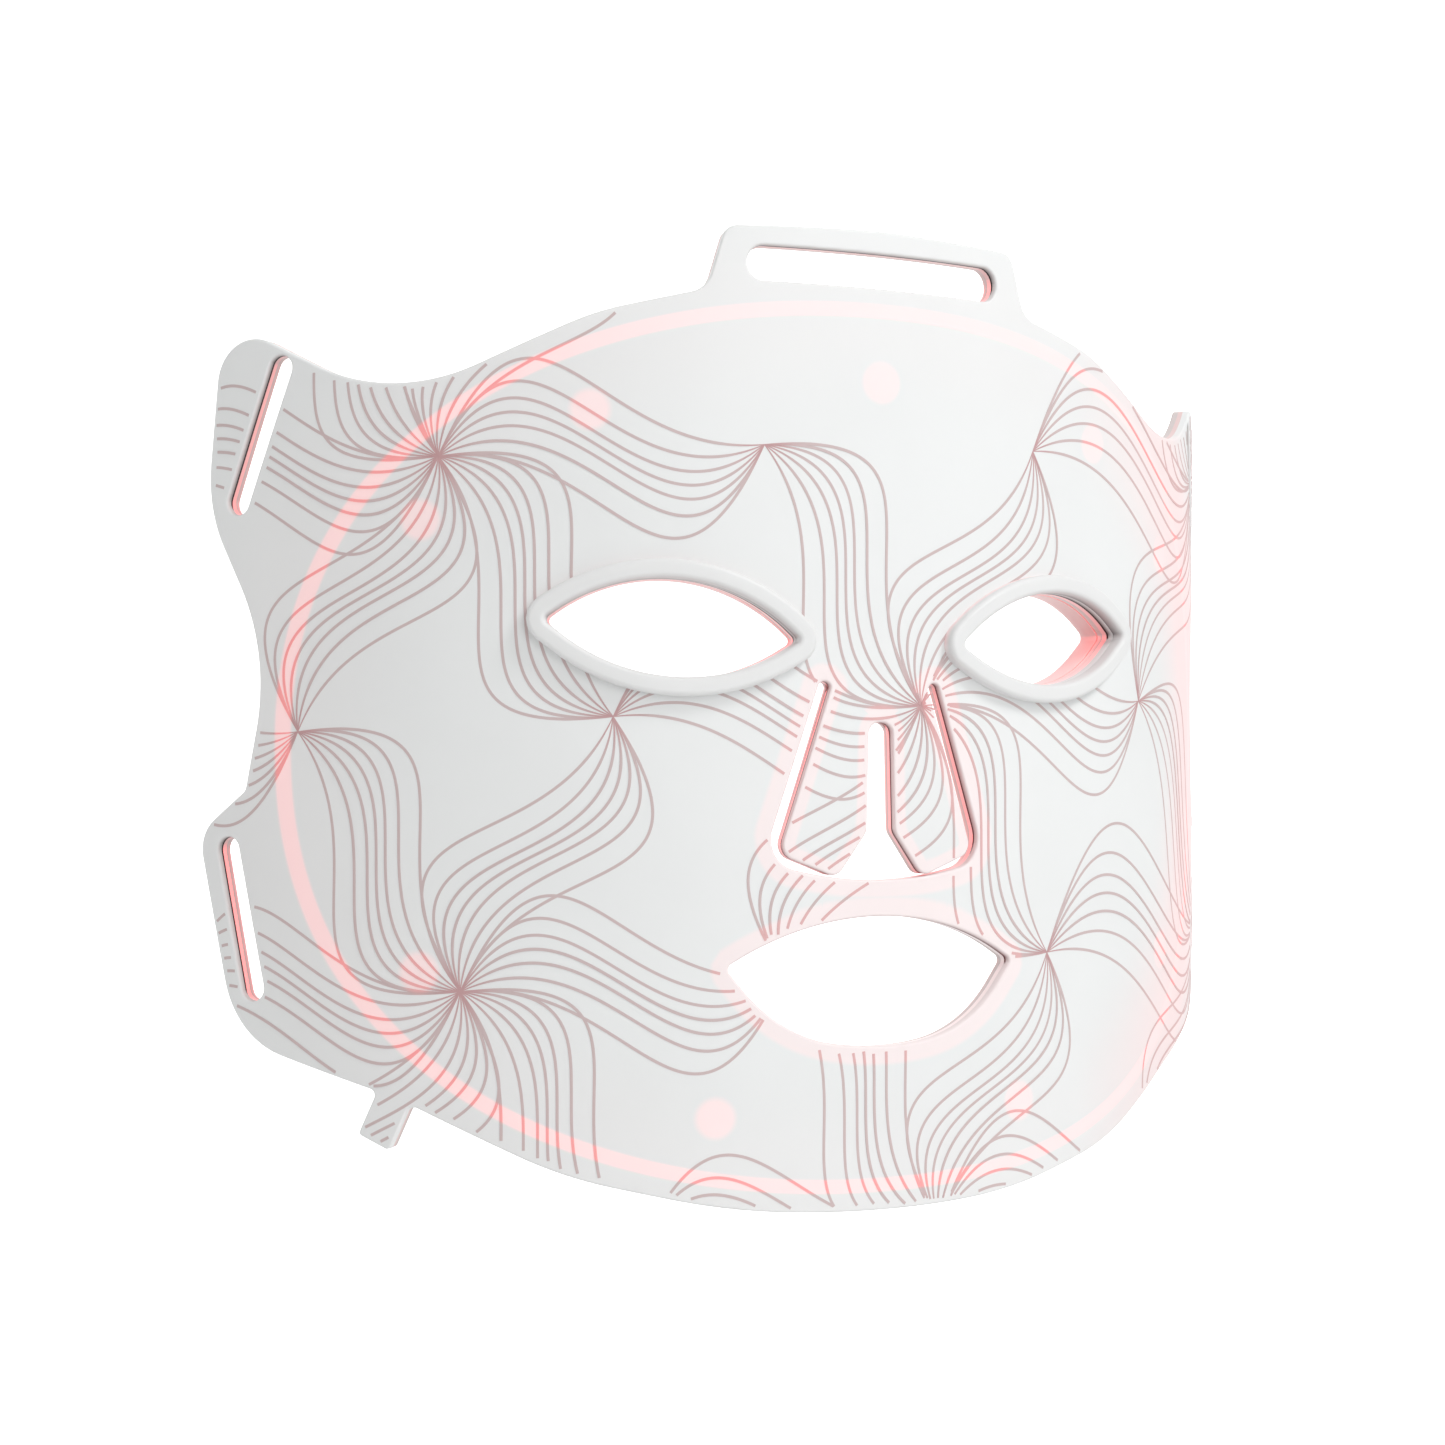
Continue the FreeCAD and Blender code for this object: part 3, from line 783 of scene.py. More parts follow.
    def shaded(self, tree: bpy.types.NodeTree, pigment: bpy.types.NodeSocket) -> bpy.types.NodeSocket:
        """The pigment with painted shade: greyer down the cut walls, most where they face down, and dark at the
        parting on walls that don't face up.

        Args:
            tree: the material's node tree.
            pigment: the colour before.

        Returns:
            The socket of the shaded colour.
        """
        # painted shade: the walls darken with depth, more where they face down, and a near-black line is painted at
        # the parting
        normal = add_node(tree, "NewGeometry").outputs["Normal"]
        climb = add_node(tree, "SeparateXYZ", {0: normal}).outputs["Z"]
        under = add_node(tree, "MapRange", {"Value": climb, "From Min": 0.35, "From Max": -0.5, "To Min": 0.2,
                                            "To Max": 1.0}).outputs[0]
        wall = add_node(tree, "Attribute", attribute_name="cut_depth").outputs["Fac"]
        grey = add_node(tree, "MapRange", {"Value": wall, "From Max": 0.7, "To Max": 0.85}).outputs[0]
        grey = add_node(tree, "Math", {0: grey, 1: under}, operation="MULTIPLY").outputs[0]
        pigment = add_node(tree, "Mix", {"Factor": grey, 6: pigment, 7: linear("#454344")},
                           data_type="RGBA").outputs[2]
        parting_shade = add_node(tree, "MapRange", {"Value": wall, "From Min": 0.7, "From Max": 0.76}).outputs[0]
        sides = add_node(tree, "MapRange", {"Value": climb, "From Min": 0.6, "From Max": 0.2}).outputs[0]
        parting_shade = add_node(tree, "Math", {0: parting_shade, 1: sides}, operation="MULTIPLY").outputs[0]
        return add_node(tree, "Mix", {"Factor": parting_shade, 6: pigment, 7: linear("#1E1B1C")},
                        data_type="RGBA").outputs[2]


@dataclass(frozen=True)
class PrintInk:
    """Screen-printed ink for silicone: flat, dusty rose-grey, with painted light over the lit windows, where it
    turns pinker and glows.

    Attributes:
        colour: the ink's sRGB hex colour.
        thick_colour: its colour where lines crowd together.
        lit_colour: its colour over the light.
    """

    colour: str = "#C6B4B4"
    thick_colour: str = "#C09B9C"
    lit_colour: str = "#E0A4A4"

    def make(self) -> bpy.types.Material:
        """Builds the material.

        Returns:
            The material.
        """
        material, tree = new_material("screen_print_ink")
        hub = add_node(tree, "Attribute", attribute_name="hub_gap").outputs["Fac"]
        crowd = add_node(tree, "MapRange", {"Value": hub, "From Min": 9.0, "From Max": 1.0},
                         interpolation_type="SMOOTHSTEP").outputs[0]
        ink = add_node(tree, "Mix", {"Factor": crowd, 6: linear(self.colour), 7: linear(self.thick_colour)},
                       data_type="RGBA").outputs[2]
        lit, halo = LightPattern().windows(tree)
        # painted light: the ink turns pinker over the lit windows
        ink = add_node(tree, "Mix", {"Factor": lit, 6: ink, 7: linear(self.lit_colour)},
                       data_type="RGBA").outputs[2]
        # the mesh of the screen leaves the ink a little uneven along each line
        place = add_node(tree, "TexCoord").outputs["Object"]
        uneven = add_node(tree, "TexNoise", {"Vector": place, "Scale": 1 / (1.2 * MM), "Detail": 2.0})
        rough = add_node(tree, "MapRange", {"Value": uneven.outputs["Fac"], "To Min": 0.5, "To Max": 0.75})
        near = add_node(tree, "Math", {0: lit, 1: 0.2}, operation="MULTIPLY").outputs[0]
        wide = add_node(tree, "Math", {0: halo, 1: 0.15}, operation="MULTIPLY").outputs[0]
        glow = add_node(tree, "Math", {0: near, 1: wide}, operation="ADD").outputs[0]
        shader = add_node(tree, "BsdfPrincipled", {
            "Base Color": ink, "Roughness": rough.outputs[0], "IOR": 1.45,
            "Emission Color": linear("#FF3030"), "Emission Strength": glow})
        output = add_node(tree, "OutputMaterial")
        tree.links.new(shader.outputs[0], output.inputs["Surface"])
        return material


@dataclass(frozen=True)
class Hard:
    """A small hard part: lens, film, ceramic, plating or moulded plastic.

    Attributes:
        name: the material's name.
        colour: sRGB hex colour.
        shade: the second colour of its fine mottling.
        roughness: mean roughness.
        metallic: 1 for plated metal.
        ior: index of refraction, left alone on a metal.
        grain_mm: size of the mottling.
        glow: emission strength.
        coat: clear lacquer or lens skin.
    """

    name: str
    colour: str
    shade: str
    roughness: float
    metallic: float = 0.0
    ior: float = 1.5
    grain_mm: float = 0.4
    glow: float = 0.0
    coat: float = 0.0

    def make(self) -> bpy.types.Material:
        """Builds the material.

        Returns:
            The material.
        """
        material, tree = new_material(self.name)
        place = add_node(tree, "TexCoord").outputs["Object"]
        mottle = add_node(tree, "TexNoise", {"Vector": place, "Scale": 1 / (self.grain_mm * MM), "Detail": 3.0})
        colour = add_node(tree, "Mix", {"Factor": mottle.outputs["Fac"], 6: linear(self.colour),
                                        7: linear(self.shade)}, data_type="RGBA").outputs[2]
        rough = add_node(tree, "MapRange", {"Value": mottle.outputs["Fac"], "To Min": self.roughness * 0.8,
                                            "To Max": self.roughness * 1.2}).outputs[0]
        bump = add_node(tree, "Bump", {"Height": mottle.outputs["Fac"], "Strength": 0.1, "Distance": 0.00002})
        inputs = {"Base Color": colour, "Roughness": rough, "Metallic": self.metallic,
                  "Normal": bump.outputs[0], "Coat Weight": self.coat}
        if not self.metallic:
            inputs["IOR"] = self.ior
        if self.glow:
            inputs["Emission Color"] = linear(self.colour)
            inputs["Emission Strength"] = self.glow
        shader = add_node(tree, "BsdfPrincipled", inputs)
        output = add_node(tree, "OutputMaterial")
        tree.links.new(shader.outputs[0], output.inputs["Surface"])
        return material


# Cover: opaque white platinum-cured silicone, so satin and cool white, with thin windows for the band.
COVER_SILICONE = Silicone("white_cover_silicone", "#E5E7E7", 0.5, Light.WINDOWS, 0.24)
# Rims: the same rubber from a smoother mould, so glossier, and a shade greyer as painted shade, toning down the
# light the raised rims catch.
RIM_SILICONE = Silicone("smooth_rim_silicone", "#E1E2E2", 0.42, Light.EDGES, 0.3)
# Liner: milky skin-contact silicone, so the chips show as soft red spots.
LINER_SILICONE = Silicone("milky_liner_silicone", "#CEC3C2", 0.45, Light.CHIPS, 0.5)
# Edge sheet and guards: translucent rubber that carries light to its cut edges; its pink tint is painted red light.
CORE_SILICONE = Silicone("light_guiding_silicone", "#E0C4C3", 0.4, Light.EDGES, 0.3)
# Beads and posts: clear rubber filled with red light, so pink all through, but for the mouth's bead.
LIT_SILICONE = Silicone("lit_clear_silicone", "#F3C4C4", 0.35, Light.THROUGH, 0.42)
CLEAR_SILICONE = Silicone("unlit_clear_silicone", "#F1E6E6", 0.35, Light.THROUGH, 0.05)
RED_LENS = Hard("red_chip_lens", "#FF4038", "#FF5A50", 0.12, ior=1.52, glow=2.0, coat=1.0)
DARK_LENS = Hard("smoky_chip_lens", "#4A3A44", "#5C4A54", 0.15, ior=1.52, coat=1.0)
FILM = Hard("white_circuit_film", "#E9E6DC", "#DEDACE", 0.4, ior=1.7, grain_mm=1.5)
CERAMIC = Hard("black_chip_ceramic", "#202022", "#2C2C30", 0.5, ior=1.76)
PLATING = Hard("nickel_plating", "#C9CBD0", "#B4B7BD", 0.28, metallic=1.0, grain_mm=0.6)
GOLD = Hard("gold_flash_plating", "#E2B85C", "#D2A548", 0.25, metallic=1.0, grain_mm=0.3)
BLACK_PLASTIC = Hard("black_moulded_nylon", "#131315", "#1B1B1E", 0.45, ior=1.53)


# ---------------------------------------------------------------- sub-assemblies


class Side(Enum):
    """The two sides of the face, from the front."""

    LEFT = -1
    RIGHT = 1

    @property
    def word(self) -> str:
        """The side as it stands in node names."""
        return self.name.lower()


@dataclass
class FlappedSheet:
    """A skin of the sandwich with its openings, and the two nose flaps cut free from it.

    Attributes:
        name: the main piece's name.
        flap_name: the start of the flaps' names.
        back: height of its back face, in mm from the cover's front.
        front: height of its front face.
        round_front: True where the front edge is the outside one.
        edge_radius: roundness of its outside edge.
        cell: grid step, in mm.
        bend_reach: how far down a flap, in mm, its bend at the root goes; not used.
    """

    name: str
    flap_name: str
    back: float
    front: float
    round_front: bool
    edge_radius: float = 0.5
    cell: float = 2.5
    bend_reach: float = 3.0

    def openings(self) -> list[Outline]:
        """Every hole in the sheet, with the gap round the flaps as one."""
        return both(EYE) + [whole(MOUTH_HALF), whole(GAP_HALF)] + strap_slots()

    def build(self) -> list[bpy.types.Object]:
        """Builds the sheet and cuts its flaps free.

        Returns:
            The main piece, the left flap and the right flap.
        """
        bm = bmesh.new()
        profile = rounded_profile(self.back, self.front, self.edge_radius, self.round_front)
        sweep(bm, mask_outline(), profile)
        for opening in self.openings():
            sweep(bm, opening, [(-offset, height) for offset, height in profile], 0.8)
        bmesh.ops.remove_doubles(bm, verts=bm.verts, dist=WELD)
        cap(bm, self.front)
        cap(bm, self.back)
        for side in Side:
            middle, down = root_line(side.value)
            geom = bm.verts[:] + bm.edges[:] + bm.faces[:]
            bmesh.ops.bisect_plane(bm, geom=geom, dist=ON_PLANE, plane_co=(*middle, 0), plane_no=(*down, 0))
        grid(bm, self.cell, self.cell * 1.6)
        bm.faces.index_update()
        flaps = {side: self.flap_faces(bm, side) for side in Side}
        things = [self.part_of(bm, side, flaps) for side in (None, Side.LEFT, Side.RIGHT)]
        bm.free()
        return things

    def on_flap(self, points: np.ndarray, side: Side) -> np.ndarray:
        """True for each flat point on that side's flap.

        Args:
            points: rows of (across, up).
            side: which flap.

        Returns:
            One answer for each point.
        """
        middle, down = root_line(side.value)
        outline = FLAP if side is Side.RIGHT else mirror(FLAP)
        below = (points - np.array(middle)) @ np.array(down) > 0
        return below & inside(points, fine_ring(grow(outline, 0.9)))

    def flap_faces(self, bm: bmesh.types.BMesh, side: Side) -> set[int]:
        """The faces of one flap: all that can be reached from its middle without crossing its root.

        Args:
            bm: the whole sheet, flat, with edges along the root.
            side: which flap.

        Returns:
            The faces' indices.
        """
        middle, down = root_line(side.value)
        corners = [Vector(corner[:2]) for corner in FLAP]
        centre = Vector((side.value, 1)) * sum(corners, Vector((0, 0))) / len(corners)
        first = min(bm.faces, key=lambda face: (face.calc_center_median().xy - centre).length)
        found = {first.index}
        waiting = [first]
        while waiting:
            for edge in waiting.pop().edges:
                if all(abs((vert.co.xy - middle).dot(down)) < 10 * ON_PLANE for vert in edge.verts):
                    continue
                fresh = [face for face in edge.link_faces if face.index not in found]
                found.update(face.index for face in fresh)
                waiting += fresh
        return found

    def part_of(self, bm: bmesh.types.BMesh, side: Optional[Side], flaps: dict[Side, set[int]]) -> bpy.types.Object:
        """Takes the main piece or one flap out of the whole sheet.

        Args:
            bm: the whole sheet, flat.
            side: the flap's side, or None for the main piece.
            flaps: the faces of each flap.

        Returns:
            The placed piece.
        """
        part = bm.copy()
        either = flaps[Side.LEFT] | flaps[Side.RIGHT]
        dropped = [f for f in part.faces if (f.index not in flaps[side] if side else f.index in either)]
        bmesh.ops.delete(part, geom=dropped, context="FACES")
        open_edges = [e for e in part.edges if e.is_boundary]
        bmesh.ops.edgeloop_fill(part, edges=open_edges)
        name = f"{self.flap_name}_{side.word}" if side else self.name
        piece = Piece(name, part)
        flat = piece.flat()
        piece.fields = self.fields(flat, np.array([v.co.z for v in part.verts]), side)
        return piece.place()

    def fields(self, flat: np.ndarray, heights: np.ndarray, side: Optional[Side]) -> dict[str, np.ndarray]:
        """The values that the finish reads at each vertex."""
        raise NotImplementedError


@dataclass
class Cover(FlappedSheet):
    """The white front cover."""

    def fields(self, flat: np.ndarray, heights: np.ndarray, side: Optional[Side]) -> dict[str, np.ndarray]:
        """How far each vertex is from a lit strip's opening, how much light its cut edge carries, and how far down
        a cut wall it is, for the painted shade there.
        """
        return {"lit_gap": lit_gap(flat, side), "edge_light": edge_light(flat, heights, self.front, 0.05),
                "cut_depth": cut_depth(flat, self.openings(), heights, self.back, self.front)}


@dataclass
class Liner(FlappedSheet):
    """The milky liner that rests on the skin."""

    chips: np.ndarray = field(default_factory=lambda: np.zeros((0, 2)))

    def fields(self, flat: np.ndarray, heights: np.ndarray, side: Optional[Side]) -> dict[str, np.ndarray]:
        """How far each vertex is from a red chip, and how much light its cut edge carries.

        Args:
            flat: rows of (across, up).
            heights: each vertex's height.
            side: the flap's side, or None for the mask's own part.

        Returns:
            The values, by attribute name.
        """
        nearest = np.full(len(flat), FAR)
        for chip in self.chips:
            np.minimum(nearest, np.hypot(*(flat - chip).T), out=nearest)
        return {"chip_gap": nearest, "edge_light": edge_light(flat, heights, self.front, 0.9)}


def lit_gap(flat: np.ndarray, side: Optional[Side]) -> np.ndarray:
    """Distance to the nearest lit opening's edge, scaled on the flaps so that their narrower strips match."""
    if side:
        return gap_to(flat, [fine_ring(whole(GAP_HALF), 0.6)]) * OPENING_BAND / FLAP_BAND
    return gap_to(flat, [fine_ring(whole(MOUTH_HALF), 0.6), fine_ring(whole(GAP_HALF), 0.6)])


def cut_depth(flat: np.ndarray, holes: list[Outline], heights: np.ndarray, back: float, front: float) -> np.ndarray:
    """How far down the cut wall of an opening each vertex is, from 0 at the front to 1 at the back.

    Args:
        flat: rows of (across, up).
        holes: the openings.
        heights: each vertex's height.
        back: the wall's back.
        front: the wall's front.

    Returns:
        One share for each vertex, 0 away from the walls; the finish paints shade down the walls from it.
    """
    gap = gap_to(flat, [fine_ring(hole, 0.8) for hole in holes])
    return np.clip(1.4 - gap / WALL_NEAR, 0, 1) * np.clip((front - heights) / (front - back), 0, 1)


def edge_light(flat: np.ndarray, heights: np.ndarray, front: float, strength: float) -> np.ndarray:
    """Light that leaves through the cut walls of the openings, weaker towards the front face and the mouth.

    Args:
        flat: rows of (across, up).
        heights: each vertex's height.
        front: the height where the light ends.
        strength: emission strength at the back of a lit wall.

    Returns:
        One strength for each vertex.
    """
    depth = np.clip(front - heights, 0, 1)
    light = np.zeros(len(flat))
    shares = ((both(EYE), 1.0), ([whole(GAP_HALF)], 0.6), (strap_slots(), 0.5), ([whole(MOUTH_HALF)], 0.1))
    for holes, share in shares:
        gap = gap_to(flat, [fine_ring(hole, 0.8) for hole in holes])
        light = np.maximum(light, share * np.clip(1 - gap / WALL_NEAR, 0, 1))
    return strength * light * depth


@dataclass
class FacePrint:
    """The printed lines: pinwheels of fine curves between the knots of a six-sided lattice.

    Attributes:
        knot: a six-way knot's flat place.
        rise: distance between six-way knots up the sheet.
        stride: distance between their columns.
        tilt: turn of the whole lattice, in degrees.
        lines: lines in each bundle.
        line_width: ink width.
        margin: bare edge at every cut.
        taper: how far from a knot its lines reach their full width.
        step: distance between the points along a line.
        least_fan: a bundle's first line leaves its knot at this angle from the straight way, in degrees.
        fan: the angle between its first and last lines.
        pull: the length of a line's handles, as a share of the straight way, at the bundle's inside.
        more_pull: what is added to that share at its outside.
        ease_from: past this distance across the lattice widens, in mm.
        ease: how fast it widens.
        lowest: height of the first line over the cover.
        layer: each line lies this much higher than the last, so that crossings don't flicker.
        layers: after this many lines the heights start again.
        ink: thickness of the ink.
    """

    knot: tuple[float, float] = (8.8, -7.3)
    rise: float = 100.0
    stride: float = 92.3
    tilt: float = 2.4
    lines: int = 7
    line_width: float = 0.55
    margin: float = 0.8
    taper: float = 13.0
    step: float = 1.0
    least_fan: float = 5.0
    fan: float = 57.0
    pull: float = 0.54
    more_pull: float = 0.2
    ease_from: float = 40.0
    ease: float = 0.00686
    lowest: float = 0.02
    layer: float = 0.008
    layers: int = 8
    ink: float = 0.06

    def place(self, column: float, row: float) -> Vector:
        """The flat place of a lattice point, eased wider towards the right-hand edge.

        Args:
            column: the point's column in the lattice.
            row: its row.

        Returns:
            The flat place.
        """
        turn = math.radians(self.tilt)
        run = column * self.stride
        climb = row * self.rise
        across = self.knot[0] + run * math.cos(turn) - climb * math.sin(turn)
        up = self.knot[1] + run * math.sin(turn) + climb * math.cos(turn)
        past = max(across - self.ease_from, 0)
        return Vector((across + self.ease * past * past, up))

    def bundles(self) -> list[tuple[Vector, Vector]]:
        """Every (six-way knot, three-way knot) pair whose bundle is printed.

        Returns:
            The pairs of flat places.
        """
        pairs = []
        for column in (-2, -1, 0, 1, 2):
            shift = 0.5 if column % 2 else 0.0
            for row in (-2, -1, 0, 1, 2):
                knot = (column, row + shift)
                if knot == (0, 1):
                    continue
                for k in range(6):
                    reach_column = (2 / 3, 1 / 3, -1 / 3, -2 / 3, -1 / 3, 1 / 3)[k]
                    reach_row = (0, 0.5, 0.5, 0, -0.5, -0.5)[k]
                    far = (column + reach_column, knot[1] + reach_row)
                    pairs.append((self.place(*knot), self.place(*far)))
        return pairs

    def line(self, start: Vector, stop: Vector, share: float) -> np.ndarray:
        """One S-shaped line of a bundle.

        Args:
            start: the six-way knot.
            stop: the three-way knot.
            share: 0 to 1 across the bundle.

        Returns:
            Its flat points, about one step apart.
        """
        reach = stop - start
        heading = math.atan2(reach.y, reach.x)
        pulls = []
        for part in (share, 1 - share):
            aside = heading + math.radians(self.least_fan + self.fan * (1 - (1 - part) ** 2))
            handle = reach.length * (self.pull + self.more_pull * part ** 3)
            pulls.append(Vector((math.cos(aside), math.sin(aside))) * handle)
        first = start + pulls[0]
        second = stop - pulls[1]
        longest = 1.25  # a line is up to a quarter longer than the straight way
        count = math.ceil(reach.length * longest / self.step)
        u = np.linspace(0, 1, count + 1)[:, None]
        poles = [np.array(tuple(p)) for p in (start, first, second, stop)]
        weights = ((1 - u) ** 3, 3 * u * (1 - u) ** 2, 3 * u * u * (1 - u), u ** 3)
        return sum(pole * weight for pole, weight in zip(poles, weights))

    def allowed(self, points: np.ndarray, side: Optional[Side]) -> np.ndarray:
        """True where a point may carry ink on the main cover or on one flap.

        Args:
            points: rows of (across, up).
            side: the flap's side, or None for the mask's own part.

        Returns:
            One answer for each point.
        """
        clear = gap_to(points, [fine_ring(whole(GAP_HALF))]) > self.margin * 0.6
        flap = {s: COVER.on_flap(points, s) for s in Side}
        if side:
            return clear & flap[side]
        holes = [fine_ring(whole(MOUTH_HALF))] + [fine_ring(slot) for slot in strap_slots()]
        edge = fine_ring(mask_outline())
        clear &= inside(points, edge) & (gap_to(points, [edge] + holes) > self.margin)
        for hole in holes + [fine_ring(whole(GAP_HALF))] + [fine_ring(grow(eye, 2.6)) for eye in both(EYE)]:
            clear &= ~inside(points, hole)
        return clear & ~flap[Side.LEFT] & ~flap[Side.RIGHT]

    def runs(self, side: Optional[Side]) -> list[np.ndarray]:
        """The printed stretches as (across, up, side x, side y, height, knot gap) rows.

        Args:
            side: the flap's side, or None for the mask's own part.

        Returns:
            One array for each stretch.
        """
        found = []
        drawn = []
        for start, stop in self.bundles():
            for k in range(self.lines):
                points = self.line(start, stop, k / (self.lines - 1))
                tangent = np.gradient(points, axis=0)
                tangent /= np.linalg.norm(tangent, axis=1)[:, None]
                height = np.full((len(points), 1), self.lowest + self.layer * (len(drawn) % self.layers))
                knots = [np.hypot(*(points - np.array(tuple(p))).T) for p in (start, stop)]
                gap = np.minimum(knots[0], knots[1])[:, None]
                drawn.append(np.hstack([points, -tangent[:, 1:], tangent[:, :1], height, gap]))
        rows = np.vstack(drawn)
        allowed = self.allowed(rows[:, :2], side)
        beyond = self.allowed(rows[:, :2], None) if side else np.zeros(len(rows), bool)
        cursor = 0
        for line in drawn:
            keep = allowed[cursor:cursor + len(line)].copy()
            # a flap's line reaches back one point past the root, to meet the same line on the cover
            touching = np.append(keep[1:], False) | np.append(False, keep[:-1])
            keep |= touching & beyond[cursor:cursor + len(line)]
            cursor += len(line)
            breaks = np.nonzero(np.diff(keep.astype(int)))[0] + 1
            for stretch in np.split(np.arange(len(line)), breaks):
                if keep[stretch[0]] and len(stretch) > 1:
                    found.append(line[stretch])
        return found

    def build(self, side: Optional[Side]) -> bpy.types.Object:
        """Builds the ink on the main cover or on one flap, each line a thin closed ribbon.

        Args:
            side: the flap's side, or None for the main cover.

        Returns:
            The placed piece.
        """
        bm = bmesh.new()
        beside = bm.verts.layers.float_vector.new("beside")
        knot = bm.verts.layers.float.new("knot")
        for run in self.runs(side):
            verts = []
            for across, up, side_x, side_y, height, gap in run:
                offset = Vector((side_x, side_y, 0)) * self.line_width / 2 * min(1, 0.3 + gap / self.taper)
                vert = bm.verts.new(Vector((across, up, height)) - offset)
                vert[beside] = offset * 2
                vert[knot] = gap
                verts.append(vert)
            for pair in zip(verts, verts[1:]):
                bm.edges.new(pair)
        made = bmesh.ops.extrude_edge_only(bm, edges=bm.edges[:])["geom"]
        for vert in new_verts(made):
            vert.co += vert[beside]
        bmesh.ops.recalc_face_normals(bm, faces=bm.faces)
        bmesh.ops.solidify(bm, geom=bm.faces[:], thickness=self.ink)
        name = f"flap_print_{side.word}" if side else "face_print"
        piece = Piece(name, bm)
        flat = piece.flat()
        piece.fields = {"lit_gap": lit_gap(flat, side), "hub_gap": np.array([v[knot] for v in bm.verts])}
        return piece.place(sharp=60)


@dataclass
class EdgeSheet:
    """The translucent outer ring of the core, with the strap slots through it.

    Attributes:
        cell: grid step, in mm.
    """

    cell: float = 3.0

    def build(self) -> bpy.types.Object:
        """Builds the ring.

        Returns:
            The placed piece.
        """
        bm = bmesh.new()
        back, front = LINER_FRONT - OUTER, COVER_BACK - OUTER
        for outline in [mask_outline()] + strap_slots():
            sweep(bm, outline, [(0, back), (0, front)])
        draw_ring(bm, band_outline(BAND_WIDTH / 2), back, front)
        bmesh.ops.remove_doubles(bm, verts=bm.verts, dist=WELD)
        cap(bm, front)
        cap(bm, back)
        grid(bm, self.cell, self.cell * 2)
        piece = Piece("core_edge_ring", bm)
        flat = piece.flat()
        gap = gap_to(flat, [fine_ring(slot, 0.8) for slot in strap_slots()])
        piece.fields = {"edge_light": 0.8 * np.clip(1 - gap / WALL_NEAR, 0, 1)}
        return piece.place()


@dataclass
class EyeRim:
    """The raised rim round an eye opening, with rolled edges.

    Attributes:
        width: from the opening to the rim's outside, in mm.
        edge_radius: roundness of its front edges.
        sunk: how far its foot goes into the cover.
    """

    width: float = 3.6
    edge_radius: float = 1.0
    sunk: float = 0.05

    def build(self, side: Side) -> bpy.types.Object:
        """Builds the rim of one eye.

        Args:
            side: which eye.

        Returns:
            The placed piece.
        """
        bm = bmesh.new()
        outline = EYE if side is Side.RIGHT else mirror(EYE)
        sweep(bm, outline, ring_profile(self.width, -self.sunk, RIM_FRONT - OUTER, self.edge_radius), 0.8)
        bmesh.ops.remove_doubles(bm, verts=bm.verts, dist=WELD)
        grid(bm, 2.0, 5.0)
        piece = Piece(f"eye_rim_skin_{side.word}", bm)
        flat = piece.flat()
        heights = np.array([v.co.z for v in bm.verts])
        outside = np.clip(gap_to(flat, [fine_ring(outline, 0.6)]) / self.width - 0.9, 0, 0.1) * 10
        # cut_depth at 0.69 paints shade down the rim's inner wall and stays short of the dark parting line
        piece.fields = {"edge_light": 0.22 * outside * np.clip(1 - heights / 0.9, 0, 1),
                        "cut_depth": 0.69 * cut_depth(flat, [outline], heights, -self.sunk, RIM_FRONT - OUTER)}
        return piece.place(sharp=50)


@dataclass
class EyeGuard:
    """The wall behind an eye opening that keeps the light out of the eye.

    Attributes:
        wall: its thickness, in mm.
        nose_depth: how far it stands behind the liner at the nose.
        temple_depth: how far at the temple.
        least_depth: the least that it stands out anywhere.
        roll: roundness of its back edges, as a share of its depth.
    """

    wall: float = 2.2
    nose_depth: float = 1.0
    temple_depth: float = 4.0
    least_depth: float = 0.7
    roll: float = 0.4

    def back_at(self, across: float) -> float:
        """How deep the flat-cut guard is behind the liner at this place, in mm.

        Args:
            across: the flat place, in mm.

        Returns:
            The depth.
        """
        nose = over_sheet(EYE[0][0], 0, LINER_BACK - self.nose_depth) / MM
        temple = over_sheet(EYE[2][0], 0, LINER_BACK - self.temple_depth) / MM
        along = temple - nose
        behind = Vector((-along.y, along.x, 0))
        axis = Vector((0, AXIS, 0))
        outward = Vector((math.sin(across / OUTER), -math.cos(across / OUTER), 0))
        return LINER_BACK - (nose - axis).dot(behind) / outward.dot(behind)

    def build(self, side: Side) -> bpy.types.Object:
        """Builds the guard of one eye.

        Args:
            side: which eye.

        Returns:
            The placed piece.
        """
        bm = bmesh.new()
        outline = EYE if side is Side.RIGHT else mirror(EYE)
        # drawn one unit deep with rolled back edges, then each point is pushed to the cut's real depth
        roll, corner, wall = self.roll, self.roll * 0.3, self.wall
        profile = [(0, 1), (0, roll), (corner, corner), (roll, 0), (wall - roll, 0), (wall - corner, corner),
                   (wall, roll), (wall, 1), (0, 1)]
        sweep(bm, outline, profile, 0.8)
        bmesh.ops.remove_doubles(bm, verts=bm.verts, dist=WELD)
        grid(bm, 2.0, 5.0)
        flat_heights = np.array([v.co.z for v in bm.verts])
        for vert in bm.verts:
            depth = max(self.back_at(abs(vert.co.x)), self.least_depth)
            vert.co.z = LINER_BACK - OUTER - depth * (1 - vert.co.z)
        piece = Piece(f"eye_guard_skin_{side.word}", bm)
        ups = piece.flat()[:, 1]
        fade = np.clip((ups + 12) / 22, 0.15, 1)
        piece.fields = {"edge_light": 0.55 * fade * (0.5 + 0.5 * flat_heights)}
        return piece.place(sharp=50)


